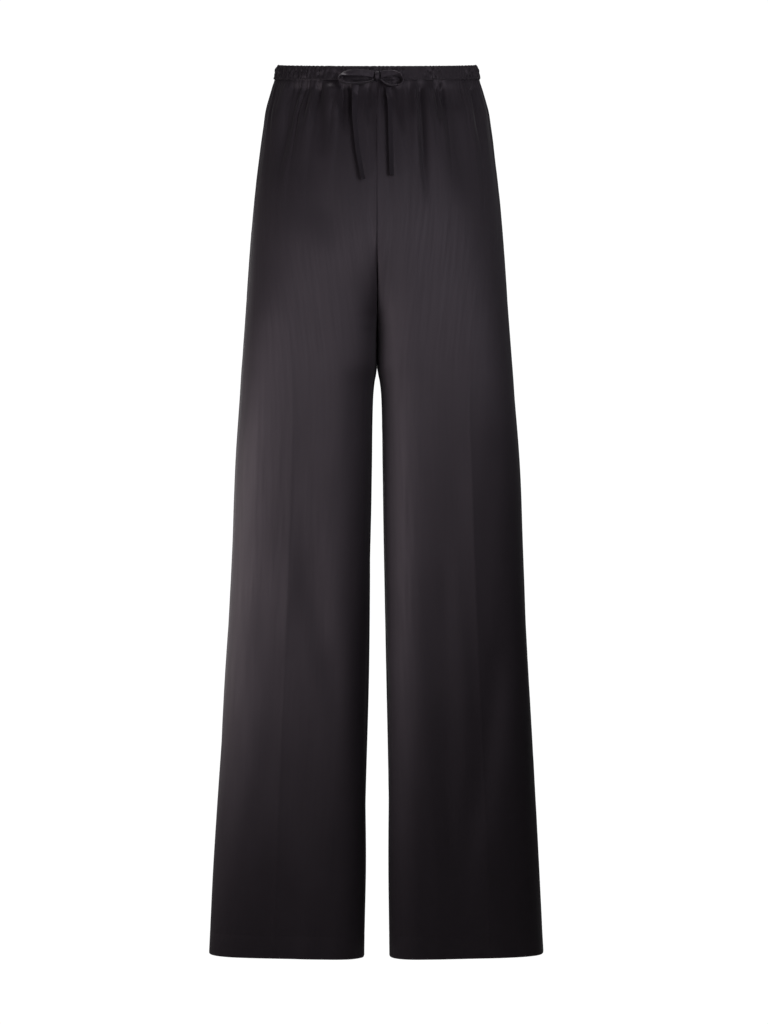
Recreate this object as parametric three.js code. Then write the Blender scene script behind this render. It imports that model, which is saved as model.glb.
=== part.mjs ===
// Wide-leg pants with a gathered drawstring waist, standing open as if worn.
//
// Millimetres, +Z up. The garment faces -Y and its left side (the wearer's left) is +X. The origin is the
// middle of the waist opening. Every piece of cloth is a closed wall: an outer surface worked out from the
// tables below, an inner surface one wall thickness inside it, and the cut edges between them.

import * as THREE from 'three';

// ---------------------------------------------------------------- driving dimensions

const SEAM_GAP = 0.3; // between two pieces that are sewn together
const CLOTH = 1.3; // wall of one layer of satin
const HEM_LAYER = 1.1; // what the turned-up hem adds to the wall
const HEM_DEPTH = 28; // height of the turned-up hem
const HEM_Z = -1112;
const WAIST_TOP = 1.5; // height of the waist's fold line at the side seams
const CASING_HEIGHT = 18;
const CASING_INSIDE = 1.0; // how far the casing's plain inside lies within the waist's form
const CROTCH_START = { front: -205, back: -175 }; // where the centre seams begin to curve under
const CROTCH_Z = -330;
const FORK_SHARPNESS = 16; // how closely the fork keeps to the centre seam
const LEG_START = -120; // where the panels begin to turn from trunk to leg
const LEG_END = -470; // where they have turned
const LEG_POWER = 0.55; // power of a leg's oval
const FORK_CROWDING = 1.5; // how much closer the columns stand by the centre seam there
const PRESS_WIDTH = 0.16; // share of a panel's width that a pressed crease lifts
const TILT_FRONT = 0.128; // the waist dips towards the front by this slope
const TILT_BACK = 0.04;
const TILT_END = -250; // where the slant has levelled out
const GATHER_HEIGHT = 1.4; // of the gathers just under the casing
const GATHER_FADE = 26; // depth over which they die down
const NORMAL_STEP = 1.5; // step for measuring the form's slope down the leg
const NORMAL_SHARE = 0.01; // step for measuring it round the leg

const COLORS = { satin: 0x242226, tie: 0x29272b };

// The form, from the waist to the hem. At each height z: half-width to the side seam (outer), half-gap to
// the inseam (inner), frontmost and rearmost points of the section, power of the trunk's oval (round: 1 is
// an ellipse, less is squarer), y of the side seam and inseam, how far the leg turns out (turn), and how
// high the pressed crease stands (press).
const FORM = [
  [2, 125.4, 0, -86, 90, 0.93, 2, 0, 0],
  [-17, 128.5, 0, -88, 93, 0.92, 2, 0, 0],
  [-33, 133, 0, -91, 98, 0.9, 2, 0, 0],
  [-56, 139.4, 0, -97, 104, 0.87, 2, 0, 0],
  [-75, 141.9, 0, -101, 109, 0.85, 2, 0, 0],
  [-112, 146.9, 0, -107, 117, 0.82, 3, 0, 0],
  [-150, 152, 0, -110, 121, 0.79, 3, 0, 0],
  [-200, 157, 0, -111.3, 123, 0.77, 3, 0, 0],
  [-250, 161, 0, -110.6, 122, 0.76, 4, 0, 0],
  [-310, 165, 0.15, -108.2, 118.6, 0.76, 4, 0, 0.28],
  [-356, 168.2, 0.3, -105.6, 115.2, 0.76, 4, 0.03, 0.66],
  [-383, 170, 0.9, -103.9, 113.2, 0.76, 4, 0.05, 0.99],
  [-420, 172, 5.6, -101.4, 110.2, 0.76, 4, 0.07, 1.32],
  [-500, 177.4, 6.8, -96.4, 104.4, 0.76, 4, 0.11, 1.65],
  [-600, 181.8, 8.2, -90.6, 97.8, 0.76, 4, 0.14, 1.65],
  [-720, 188.3, 10.4, -84.8, 91.2, 0.76, 4, 0.16, 1.43],
  [-870, 197, 13.6, -79.2, 84.8, 0.76, 4, 0.18, 1.21],
  [-1000, 204, 15.8, -75.8, 80.8, 0.76, 4, 0.19, 0.99],
  [HEM_Z, 209.6, 17, -73.8, 78.4, 0.76, 4, 0.2, 0.77],
].map(([z, outer, inner, front, back, round, seam, turn, press]) => (
  { z, outer, inner, front, back, round, seam, turn, press }
));

// The four leg panels. crease is the pressed crease's place in the panel, 0 at the side seam and 1 at the
// inseam.
const PANELS = [
  { name: 'panel_front_right', side: -1, face: 'front', gathers: 18, seed: 0.13, crease: 0.452 },
  { name: 'panel_front_left', side: 1, face: 'front', gathers: 18, seed: 0.57, crease: 0.408 },
  { name: 'panel_back_right', side: -1, face: 'back', gathers: 20, seed: 0.31, crease: 0.46 },
  { name: 'panel_back_left', side: 1, face: 'back', gathers: 20, seed: 0.79, crease: 0.44 },
];

// The largest folds of each panel, straight soft troughs (rise below 0) and ridges. x0, z0 is the upper
// end, x1, z1 the lower one, and x is measured from the centre seam.
const FOLDS = {
  panel_front_left: [
    { x0: 53, z0: -26, x1: 64, z1: -150, width: 7, rise: -3.2 },
    { x0: 62, z0: -26, x1: 74, z1: -120, width: 6, rise: 1.2 },
    { x0: 76, z0: -24, x1: 80, z1: -62, width: 4, rise: -1.8 },
    { x0: 92, z0: -60, x1: 104, z1: -150, width: 12, rise: -1.6 },
    { x0: 72, z0: -760, x1: 96, z1: -1040, width: 15, rise: -2.2 },
  ],
  panel_front_right: [
    { x0: 97, z0: -24, x1: 121, z1: -128, width: 9, rise: -2.4 },
    { x0: 52, z0: -26, x1: 52, z1: -72, width: 9, rise: 1.6 },
    { x0: 44, z0: -26, x1: 40, z1: -70, width: 4, rise: -1.4 },
    { x0: 74, z0: -40, x1: 70, z1: -96, width: 8, rise: -1.4 },
    { x0: 78, z0: -640, x1: 36, z1: -860, width: 15, rise: -2.2 },
  ],
  panel_back_left: [
    { x0: 40, z0: -20, x1: 48, z1: -130, width: 8, rise: -2.6 },
    { x0: 86, z0: -20, x1: 100, z1: -110, width: 7, rise: -2.0 },
    { x0: 66, z0: -700, x1: 104, z1: -980, width: 16, rise: -2.2 },
  ],
  panel_back_right: [
    { x0: 30, z0: -20, x1: 32, z1: -112, width: 7, rise: -2.2 },
    { x0: 72, z0: -20, x1: 88, z1: -140, width: 8, rise: -2.6 },
    { x0: 84, z0: -680, x1: 50, z1: -930, width: 16, rise: -2.2 },
  ],
};

// Stretches of the front casing where the cloth lies almost smooth, from and to in x.
const SMOOTH_STRETCHES = [
  { from: -38, to: -15 },
  { from: 35, to: 58 },
  { from: 84, to: 108 },
];

// Rows of a panel: height, and how many columns its outer and inner surfaces have there. The gathers need
// many.
const TOP_ROWS = [
  { z: WAIST_TOP - CASING_HEIGHT - SEAM_GAP, outer: 54, inner: 14 },
  { z: -26, outer: 54, inner: 14 },
  { z: -38, outer: 54, inner: 14 },
  { z: -56, outer: 30, inner: 14 },
  { z: -82, outer: 24, inner: 14 },
  { z: -112, outer: 20, inner: 16 },
  { z: -145, outer: 20, inner: 16 },
];
const FORK_ROWS = 7;
const FORK_COLUMNS = 20;
const LEG_ROWS = [
  { z: -352, outer: 18, inner: 16 },
  { z: -390, outer: 16, inner: 12 },
  { z: -450, outer: 16, inner: 12 },
  { z: -540, outer: 16, inner: 12 },
  { z: -650, outer: 16, inner: 12 },
  { z: -760, outer: 16, inner: 12 },
  { z: -870, outer: 16, inner: 12 },
  { z: -980, outer: 16, inner: 12 },
  { z: HEM_Z + HEM_DEPTH + 0.5, outer: 16, inner: 12 },
  { z: HEM_Z + HEM_DEPTH, outer: 16, inner: 12 },
  { z: HEM_Z, outer: 16, inner: 12 },
];

// Rows that follow the centre seam's curve, closer together as it turns level at the crotch.
function forkRows(face) {
  const rows = [];
  for (let i = 0; i <= FORK_ROWS; i += 1) {
    const drop = Math.sin((i / FORK_ROWS) * (Math.PI / 2));
    const z = THREE.MathUtils.lerp(CROTCH_START[face], CROTCH_Z, drop);
    rows.push({ z, outer: FORK_COLUMNS, inner: FORK_COLUMNS, crowding: FORK_CROWDING });
  }
  return rows;
}

// The casing's outside, from its waist seam to its fold: height as a share, how far it stands out, and how
// much of the gathers' height shows there.
const CASING_PROFILE = [
  { height: 0, stand: 0.2, gather: 0.7 },
  { height: 0.3, stand: 0.7, gather: 1.1 },
  { height: 0.72, stand: 0.7, gather: 1.1 },
  { height: 0.94, stand: 0.4, gather: 0.9 },
  { height: 1, stand: -0.2, gather: 0.6 },
];
const CASING_COLUMNS_PER_GATHER = 3;
const CASING_INNER_COLUMNS = 36;

// The tie: a flat strap, with the route of each stretch by hand. twist is 0 where the strap shows its face
// to the front and 90 where it stands on edge.
const TIE = { width: 8, thickness: 1.4, loopSteps: 30, tailSteps: 28 };
const KNOT = { x: 0.5, y: -91.8, z: -22.2, width: 6.8, depth: 6.6, height: 12 };
const LOOP_RIGHT = [
  { x: -3.6, y: -92, z: -20.6, twist: 0 },
  { x: -12, y: -92.7, z: -19, twist: 0 },
  { x: -25, y: -93, z: -18.3, twist: 0 },
  { x: -36, y: -92.7, z: -18.8, twist: 25 },
  { x: -43.5, y: -92.6, z: -21, twist: 75 },
  { x: -46.4, y: -92.7, z: -25, twist: 90 },
  { x: -43, y: -93.6, z: -29, twist: 90 },
  { x: -34, y: -93.8, z: -31, twist: 90 },
  { x: -21, y: -93.8, z: -31.2, twist: 90 },
  { x: -11, y: -93.6, z: -29.6, twist: 90 },
  { x: -4, y: -92.8, z: -27, twist: 90 },
];
const LOOP_LEFT = [
  { x: 4.6, y: -91.9, z: -20.6, twist: 0 },
  { x: 12, y: -92.6, z: -19.4, twist: 0 },
  { x: 20, y: -92.7, z: -19.3, twist: 15 },
  { x: 27, y: -92.7, z: -20.8, twist: 60 },
  { x: 31.6, y: -92.7, z: -24.6, twist: 90 },
  { x: 32.6, y: -93.4, z: -28.8, twist: 90 },
  { x: 30, y: -93.6, z: -32.6, twist: 90 },
  { x: 24, y: -93.8, z: -34.2, twist: 90 },
  { x: 16.5, y: -93.8, z: -34.4, twist: 90 },
  { x: 10, y: -93.6, z: -31.6, twist: 90 },
  { x: 5, y: -92.7, z: -27.2, twist: 90 },
];
const TAIL_RIGHT = [
  { x: -25.4, y: -93.2, z: -33, twist: 0 },
  { x: -26.6, y: -93.9, z: -40, twist: 0 },
  { x: -27.6, y: -95, z: -48, twist: 0 },
  { x: -28.2, y: -96.9, z: -56, twist: 0 },
  { x: -28.4, y: -98.6, z: -64, twist: 0 },
  { x: -28.3, y: -100.3, z: -72, twist: 0 },
  { x: -27.9, y: -101.9, z: -80.5, twist: 0 },
  { x: -27.2, y: -103.5, z: -89, twist: 0 },
  { x: -26.4, y: -104.9, z: -98, twist: 0 },
  { x: -25.4, y: -106.2, z: -107, twist: 0 },
  { x: -24.3, y: -107.5, z: -116, twist: 0 },
  { x: -23, y: -108.7, z: -125, twist: 0 },
  { x: -21.5, y: -109.8, z: -134, twist: 0 },
  { x: -19.8, y: -110.8, z: -143, twist: 0 },
  { x: -17.8, y: -111.6, z: -152, twist: 0 },
];
const TAIL_LEFT = [
  { x: 14.2, y: -93.5, z: -36.2, twist: 0 },
  { x: 14.6, y: -94.5, z: -44, twist: 0 },
  { x: 14.9, y: -96.2, z: -52, twist: 0 },
  { x: 15.1, y: -98.1, z: -60, twist: 0 },
  { x: 15.3, y: -99.8, z: -68, twist: 0 },
  { x: 15.5, y: -101.4, z: -76, twist: 0 },
  { x: 15.6, y: -102.9, z: -84, twist: 0 },
  { x: 15.7, y: -104.3, z: -92, twist: 0 },
  { x: 15.8, y: -105.5, z: -100, twist: 0 },
  { x: 15.9, y: -106.7, z: -108, twist: 0 },
  { x: 16.1, y: -107.8, z: -116, twist: 0 },
  { x: 16.3, y: -108.9, z: -124, twist: 0 },
  { x: 16.5, y: -109.8, z: -132, twist: 0 },
  { x: 16.8, y: -110.6, z: -140, twist: 0 },
  { x: 17.1, y: -111.2, z: -147, twist: 0 },
];

// ---------------------------------------------------------------- the garment's form

// The table's columns at a height, on a smooth curve through its rows.
function formAt(z) {
  const height = THREE.MathUtils.clamp(z, HEM_Z, FORM[0].z);
  const last = FORM.length - 2;
  const i = Math.min(FORM.findIndex((row, k) => k > last || FORM[k + 1].z <= height), last);
  const [before, a] = [FORM[Math.max(i - 1, 0)], FORM[i]];
  const [b, after] = [FORM[i + 1], FORM[Math.min(i + 2, last + 1)]];
  const span = b.z - a.z;
  const t = (height - a.z) / span;
  const rise = t * t * (3 - 2 * t);
  const form = {};
  for (const column of ['outer', 'inner', 'front', 'back', 'round', 'seam', 'turn', 'press']) {
    const slopeA = ((b[column] - before[column]) / (b.z - before.z)) * span;
    const slopeB = ((after[column] - a[column]) / (after.z - a.z)) * span;
    const bend = t * (1 - t) * ((1 - t) * slopeA - t * slopeB);
    form[column] = THREE.MathUtils.lerp(a[column], b[column], rise) + bend;
  }
  return form;
}

// Height of an oval over the share u of its half-width. Its power is 1 for an ellipse and less for a
// squarer one.
function oval(u, power) {
  return Math.max(1 - Math.abs(u) ** (2 / power), 0) ** (power / 2);
}

// Half-width of the trunk's oval at a place, from the side seam (s = 0) to the centre seam (s = 1).
function trunkX(s, form) {
  return form.outer * Math.max(Math.cos((s * Math.PI) / 2), 0) ** form.round;
}

// How far the section has changed from trunk to leg: eased down the panel, and a quarter ellipse at the
// centre seam.
function forkShare(face, s, z) {
  const eased = THREE.MathUtils.smoothstep(-z, -LEG_START, -LEG_END);
  const drop = THREE.MathUtils.clamp((CROTCH_START[face] - z) / (CROTCH_START[face] - CROTCH_Z), 0, 1);
  return THREE.MathUtils.lerp(eased, 1 - Math.sqrt(1 - drop * drop), s ** FORK_SHARPNESS);
}

// A point of the plain form, with y measured from the seam line: the trunk's oval over the whole half-
// width, mixed with the leg's oval about its own middle.
function plainPoint(face, s, z) {
  const form = formAt(z);
  const share = forkShare(face, s, z);
  const [middle, half] = [(form.outer + form.inner) / 2, (form.outer - form.inner) / 2];
  const x = THREE.MathUtils.lerp(trunkX(s, form), middle + half * Math.cos(s * Math.PI), share);
  const [trunk, leg] = [oval(x / form.outer, form.round), oval((x - middle) / half, LEG_POWER)];
  return new THREE.Vector3(x, (form[face] - form.seam) * THREE.MathUtils.lerp(trunk, leg, share), z);
}

// The plain form's outward direction, from its slopes round and down the panel.
function outward(face, s, z) {
  const a = Math.max(s - NORMAL_SHARE, 0);
  const b = Math.min(s + NORMAL_SHARE, 1);
  const round = plainPoint(face, b, z).sub(plainPoint(face, a, z));
  const down = plainPoint(face, s, z - NORMAL_STEP).sub(plainPoint(face, s, z + NORMAL_STEP));
  const normal = face === 'front' ? round.cross(down) : down.cross(round);
  return normal.normalize();
}

// The slant of the waist, which dips towards the front and levels out down the trunk.
function tilt(y, z) {
  const level = THREE.MathUtils.clamp(1 - (z - WAIST_TOP) / TILT_END, 0, 1);
  return y * (y < 0 ? TILT_FRONT : TILT_BACK) * level;
}

// Height of a panel's folds and pressed crease at a point.
function relief(panel, s, point) {
  let rise = 0;
  for (const fold of FOLDS[panel.name]) {
    const along = (point.z - fold.z0) / (fold.z1 - fold.z0);
    if (along <= -0.2 || along >= 1.2) continue;
    const line = THREE.MathUtils.lerp(fold.x0, fold.x1, along);
    const across = (point.x - line) / fold.width;
    const begun = THREE.MathUtils.smoothstep(along, -0.2, 0.15);
    const ended = THREE.MathUtils.smoothstep(along, 0.5, 1.2);
    rise += fold.rise * begun * (1 - ended) * Math.exp(-across * across);
  }
  const fromCrease = Math.max(0, 1 - Math.abs(s - panel.crease) / PRESS_WIDTH);
  return rise + formAt(point.z).press * fromCrease ** 2;
}

// How strongly the cloth is gathered at a place on the waist, 0 to 1: uneven, and slack in the smooth
// stretches.
function gatherStrength(panel, s, x) {
  const uneven = 0.7 + 0.3 * Math.sin(2 * Math.PI * (2.3 * s + 2.7 * panel.seed));
  const smooth = panel.face === 'front' && SMOOTH_STRETCHES.some((part) => x > part.from && x < part.to);
  return smooth ? 0.25 * uneven : uneven;
}

// Height of the gathers, 0 to 1, round a panel's top. Their spacing drifts, so that no two are quite alike.
function gather(panel, s, x) {
  const slow = Math.sin(2 * Math.PI * (1.7 * s + panel.seed));
  const quick = Math.sin(2 * Math.PI * (4.1 * s + panel.seed));
  const drift = 0.3 * slow + 0.15 * quick;
  const wave = 0.5 - 0.5 * Math.cos(2 * Math.PI * (panel.gathers * s + drift));
  return gatherStrength(panel, s, x) * wave;
}

// Puts a point that was worked out from the seam line into its place on the garment, clear of the seams.
function settle(panel, point, z) {
  const form = formAt(z);
  const x = Math.max(point.x, SEAM_GAP / 2);
  const direction = panel.face === 'front' ? -1 : 1;
  const fromSeam = direction * Math.max(direction * point.y, SEAM_GAP / 2);
  const y = form.seam + fromSeam + form.turn * (x - (form.outer + form.inner) / 2);
  return new THREE.Vector3(panel.side * x, y, point.z + tilt(y, z));
}

// A point of a panel's wall at a height above (or, below 0, inside) the form with its folds.
function panelPoint(panel, s, z, height, level) {
  const base = plainPoint(panel.face, s, z);
  const direction = outward(panel.face, s, z);
  const moved = base.clone().addScaledVector(direction, relief(panel, s, base) + height);
  if (level) moved.z = z;
  return settle(panel, moved, z);
}

// ---------------------------------------------------------------- walls

// Places round a panel, crowded towards the centre seam if asked, with one moved onto the pressed crease.
function columns(count, crease, crowding = 1) {
  const places = Array.from({ length: count + 1 }, (unused, i) => 1 - (1 - i / count) ** crowding);
  const nearest = places.findIndex((place) => place >= crease);
  if (crease > 0) places[nearest] = crease;
  return places;
}

// Joins two rows of points that may differ in number by a band of triangles, taking the nearer next point
// in turn.
function stitch(upper, lower, triangles) {
  let i = 0;
  let j = 0;
  while (i < upper.places.length - 1 || j < lower.places.length - 1) {
    const nextUpper = upper.places[i + 1] ?? Infinity;
    const nextLower = lower.places[j + 1] ?? Infinity;
    if (nextUpper <= nextLower) {
      triangles.push(upper.first + i, lower.first + j, upper.first + i + 1);
      i += 1;
    } else {
      triangles.push(upper.first + i, lower.first + j, lower.first + j + 1);
      j += 1;
    }
  }
}

// The volume that a closed set of triangles holds, negative where its faces point in.
function signedVolume(points, triangles) {
  let volume = 0;
  for (let i = 0; i < triangles.length; i += 3) {
    const [a, b, c] = [points[triangles[i]], points[triangles[i + 1]], points[triangles[i + 2]]];
    volume += a.dot(b.clone().cross(c)) / 6;
  }
  return volume;
}

function closedGeometry(points, triangles) {
  if (signedVolume(points, triangles) < 0) triangles.reverse();
  const geometry = new THREE.BufferGeometry().setFromPoints(points);
  geometry.setIndex(triangles);
  geometry.computeVertexNormals();
  return geometry;
}

// A wall between an outer and an inner surface, each a list of rows from top to bottom. A row holds its
// places from 0 to 1 and a point for each. The rows form one ring, outer down and inner up, with a strip
// at each end: row by row where the two surfaces have the same rows, and otherwise a fan.
function wallGeometry(outer, inner) {
  const points = [];
  for (const row of [...outer, ...inner]) {
    row.first = points.length;
    row.last = row.first + row.points.length - 1;
    points.push(...row.points);
  }
  const triangles = [];
  const ring = [...outer, ...inner.slice().reverse()];
  ring.forEach((row, i) => stitch(row, ring[(i + 1) % ring.length], triangles));
  const paired = outer.length === inner.length;
  for (let i = 0; paired && i < outer.length - 1; i += 1) {
    const [o, p, q, n] = [outer[i], outer[i + 1], inner[i + 1], inner[i]];
    triangles.push(p.first, o.first, n.first, p.first, n.first, q.first);
    triangles.push(o.last, p.last, q.last, o.last, q.last, n.last);
  }
  for (let i = 1; !paired && i < ring.length - 1; i += 1) {
    triangles.push(ring[i + 1].first, ring[i].first, ring[0].first);
    triangles.push(ring[0].last, ring[i].last, ring[i + 1].last);
  }
  return closedGeometry(points, triangles);
}

// ---------------------------------------------------------------- pieces

function legPanel(panel) {
  const outer = [];
  const inner = [];
  for (const row of [...TOP_ROWS, ...forkRows(panel.face), ...LEG_ROWS]) {
    const level = row === TOP_ROWS[0] || row.z === HEM_Z;
    const wall = CLOTH + (row.z <= HEM_Z + HEM_DEPTH ? HEM_LAYER : 0);
    const fade = Math.exp((row.z - TOP_ROWS[0].z) / GATHER_FADE);
    const crease = formAt(row.z).press > 0 ? panel.crease : 0;
    const outerPlaces = columns(row.outer, crease, row.crowding);
    const innerPlaces = columns(row.inner, crease, row.crowding);
    outer.push({
      places: outerPlaces,
      points: outerPlaces.map((s) => {
        const x = panel.side * plainPoint(panel.face, s, row.z).x;
        return panelPoint(panel, s, row.z, GATHER_HEIGHT * fade * gather(panel, s, x), level);
      }),
    });
    inner.push({
      places: innerPlaces,
      points: innerPlaces.map((s) => panelPoint(panel, s, row.z, -wall, level)),
    });
  }
  return wallGeometry(outer, inner);
}

// Half of the waist casing, from the right side seam (u = 0) past the centre to the left one (u = 1).
function waistCasing(face) {
  const halves = PANELS.filter((panel) => panel.face === face);
  const direction = face === 'front' ? -1 : 1;

  function casingPoint(u, height, stand, gathered) {
    const panel = u < 0.5 ? halves.find((half) => half.side < 0) : halves.find((half) => half.side > 0);
    const s = 1 - Math.abs(2 * u - 1);
    const z = WAIST_TOP - CASING_HEIGHT * (1 - height);
    const base = plainPoint(face, s, z);
    const normal = outward(face, s, z).setZ(0).normalize();
    const offset = stand + gathered * gather(panel, s, panel.side * base.x);
    const x = Math.max(base.x + normal.x * offset, 0);
    const fromSeam = direction * Math.max(direction * (base.y + normal.y * offset), SEAM_GAP / 2);
    const y = formAt(z).seam + fromSeam;
    return new THREE.Vector3(panel.side * x, y, z + tilt(y, z));
  }

  const count = 2 * halves[0].gathers * CASING_COLUMNS_PER_GATHER;
  const outerPlaces = columns(count, 0);
  const innerPlaces = columns(CASING_INNER_COLUMNS, 0);
  const outer = [];
  const inner = [];
  for (const row of CASING_PROFILE.slice().reverse()) {
    outer.push({
      places: outerPlaces,
      points: outerPlaces.map((u) => casingPoint(u, row.height, row.stand, row.gather)),
    });
  }
  for (const height of [1, 0.5, 0]) {
    inner.push({
      places: innerPlaces,
      points: innerPlaces.map((u) => casingPoint(u, height, -CASING_INSIDE, 0)),
    });
  }
  return wallGeometry(outer, inner);
}

// A flat strap along a route. Its section is a bar with rounded edges, turned about the route by the twist.
function strap(route, steps) {
  const stops = route.map((row) => new THREE.Vector3(row.x, row.y, row.z));
  const curve = new THREE.CatmullRomCurve3(stops, false, 'centripetal');
  const [halfWidth, halfThickness] = [TIE.width / 2, TIE.thickness / 2];
  const rounding = halfThickness * 0.6;
  const section = [
    [halfWidth, rounding - halfThickness], [halfWidth, halfThickness - rounding],
    [halfWidth - rounding, halfThickness], [rounding - halfWidth, halfThickness],
    [-halfWidth, halfThickness - rounding], [-halfWidth, rounding - halfThickness],
    [rounding - halfWidth, -halfThickness], [halfWidth - rounding, -halfThickness],
  ];
  const front = new THREE.Vector3(0, -1, 0);
  const points = [];
  for (let i = 0; i <= steps; i += 1) {
    const place = (i / steps) * (route.length - 1);
    const [low, high] = [Math.floor(place), Math.ceil(place)];
    const turned = THREE.MathUtils.lerp(route[low].twist, route[high].twist, place - low);
    const twist = THREE.MathUtils.degToRad(turned);
    const centre = curve.getPoint(i / steps);
    const along = curve.getTangent(i / steps);
    const across = front.clone().cross(along).normalize();
    const facing = along.clone().cross(across).normalize();
    const wide = across.clone().multiplyScalar(Math.cos(twist)).addScaledVector(facing, Math.sin(twist));
    const thick = along.clone().cross(wide).normalize();
    for (const [w, t] of section) {
      points.push(centre.clone().addScaledVector(wide, w).addScaledVector(thick, t));
    }
  }
  const sides = section.length;
  const triangles = [];
  for (let i = 0; i < steps; i += 1) {
    for (let j = 0; j < sides; j += 1) {
      const [a, b] = [i * sides + j, i * sides + ((j + 1) % sides)];
      triangles.push(a, b, a + sides, b, b + sides, a + sides);
    }
  }
  for (let j = 1; j < sides - 1; j += 1) {
    triangles.push(0, j + 1, j);
    triangles.push(steps * sides, steps * sides + j, steps * sides + j + 1);
  }
  return closedGeometry(points, triangles);
}

function knot() {
  const geometry = new THREE.SphereGeometry(0.5, 12, 8);
  geometry.scale(KNOT.width, KNOT.depth, KNOT.height);
  geometry.translate(KNOT.x, KNOT.y, KNOT.z);
  return geometry;
}

// ---------------------------------------------------------------- the object

function cloth(name, roughness) {
  return new THREE.MeshStandardMaterial({ name, color: COLORS[name], roughness, metalness: 0 });
}

const satin = cloth('satin', 0.42);
const tie = cloth('tie', 0.38);

const pants = new THREE.Group();

function add(name, geometry, material) {
  const mesh = new THREE.Mesh(geometry, material);
  mesh.name = name;
  pants.add(mesh);
}

for (const panel of PANELS) add(panel.name, legPanel(panel), satin);
add('waistband_front', waistCasing('front'), satin);
add('waistband_back', waistCasing('back'), satin);
add('drawstring_knot', knot(), tie);
add('drawstring_loop_right', strap(LOOP_RIGHT, TIE.loopSteps), tie);
add('drawstring_loop_left', strap(LOOP_LEFT, TIE.loopSteps), tie);
add('drawstring_tail_right', strap(TAIL_RIGHT, TIE.tailSteps), tie);
add('drawstring_tail_left', strap(TAIL_LEFT, TIE.tailSteps), tie);

export default pants;
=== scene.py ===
"""Wide-leg black satin pants with a gathered drawstring waist, hanging open as if worn.

Everything is in metres in the part's own frame: +Z up, the front of the garment towards -Y,
and the wearer's left towards +X. The four leg panels, the two halves of the waist casing and the
tie are thin closed shells worked out from the same form as the solids that they stand for, with
the cloth's gathers, seams, creases and hem on them.
"""

import logging
import math
from dataclasses import dataclass
from enum import Enum

import bpy
import numpy as np
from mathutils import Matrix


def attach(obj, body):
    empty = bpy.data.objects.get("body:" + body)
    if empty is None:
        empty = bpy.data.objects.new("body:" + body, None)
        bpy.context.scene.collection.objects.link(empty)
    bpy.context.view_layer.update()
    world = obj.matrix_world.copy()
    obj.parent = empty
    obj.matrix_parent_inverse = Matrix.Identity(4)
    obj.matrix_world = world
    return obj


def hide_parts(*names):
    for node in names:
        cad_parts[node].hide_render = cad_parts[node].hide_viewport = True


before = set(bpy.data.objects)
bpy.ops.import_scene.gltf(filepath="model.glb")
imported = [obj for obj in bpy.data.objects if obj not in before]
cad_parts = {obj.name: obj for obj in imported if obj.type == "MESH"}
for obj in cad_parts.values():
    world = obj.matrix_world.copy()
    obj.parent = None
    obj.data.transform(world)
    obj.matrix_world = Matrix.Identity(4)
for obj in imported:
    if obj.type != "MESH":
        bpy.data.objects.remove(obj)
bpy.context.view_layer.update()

log = logging.getLogger("pants")
Array = np.ndarray
Material = bpy.types.Material
Piece = bpy.types.Object

# ---------------------------------------------------------------- driving sizes

WAIST_TOP = 0.0015  # height of the waist's fold line at the side seams
CASING_HEIGHT = 0.018
WAIST_SEAM = WAIST_TOP - CASING_HEIGHT  # height where the casing is sewn to the panels
HEM_Z = -1.112
HEM_DEPTH = 0.028  # height of the turned-up hem
SATIN = 0.0005  # one layer of the cloth
TUCKED = 0.0016  # how far the panels' tops reach up into the casing
CROTCH_Z = -0.330
FORK_SHARPNESS = 16  # how closely the fork keeps to the centre seam
SEAM_SHARPNESS = 160  # how closely its round end keeps to the seam itself
FORK_BLUR = np.linspace(-0.016, 0.016, 9)  # heights that are averaged beside the seam
LEGS_TOUCH = -0.372  # down to here the inseams touch each other
LEG_START = -0.120  # where the panels begin to turn from trunk to leg
LEG_END = -0.470  # where they have turned
LEG_POWER = 0.55  # power of a leg's oval
PRESS_WIDTH = 0.16  # share of a panel's width that a pressed crease lifts
TILT_FRONT = 0.128  # the waist dips towards the front by this slope
TILT_BACK = 0.04
TILT_END = -0.250  # where the slant has levelled out
SIDE_STEP = 0.01  # step for measuring the form's slope round a leg
DOWN_STEP = 0.0015  # step for measuring it down the leg


class Face(Enum):
    """Front or back of the garment."""

    FRONT = "front"
    BACK = "back"

    @property
    def out(self) -> int:
        """The way that the face looks along Y."""
        return -1 if self is Face.FRONT else 1

    @property
    def crotch_start(self) -> float:
        """Height where the centre seam leaves the upright and begins to curve under."""
        return -0.205 if self is Face.FRONT else -0.175


class Side(Enum):
    """The wearer's right or left, as the sign of X."""

    RIGHT = -1
    LEFT = 1


@dataclass(frozen=True)
class Section:
    """One height of the form.

    outer is the half-width to the side seam, inner the half-gap to the inseam, front and back the
    section's extremes, power the trunk oval's power (1 is an ellipse, less is squarer), seam the y
    of the side seam and inseam, turn how far the leg turns out, and press the height of the
    pressed crease.
    """

    z: float
    outer: float
    inner: float
    front: float
    back: float
    power: float
    seam: float
    turn: float
    press: float


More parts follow.
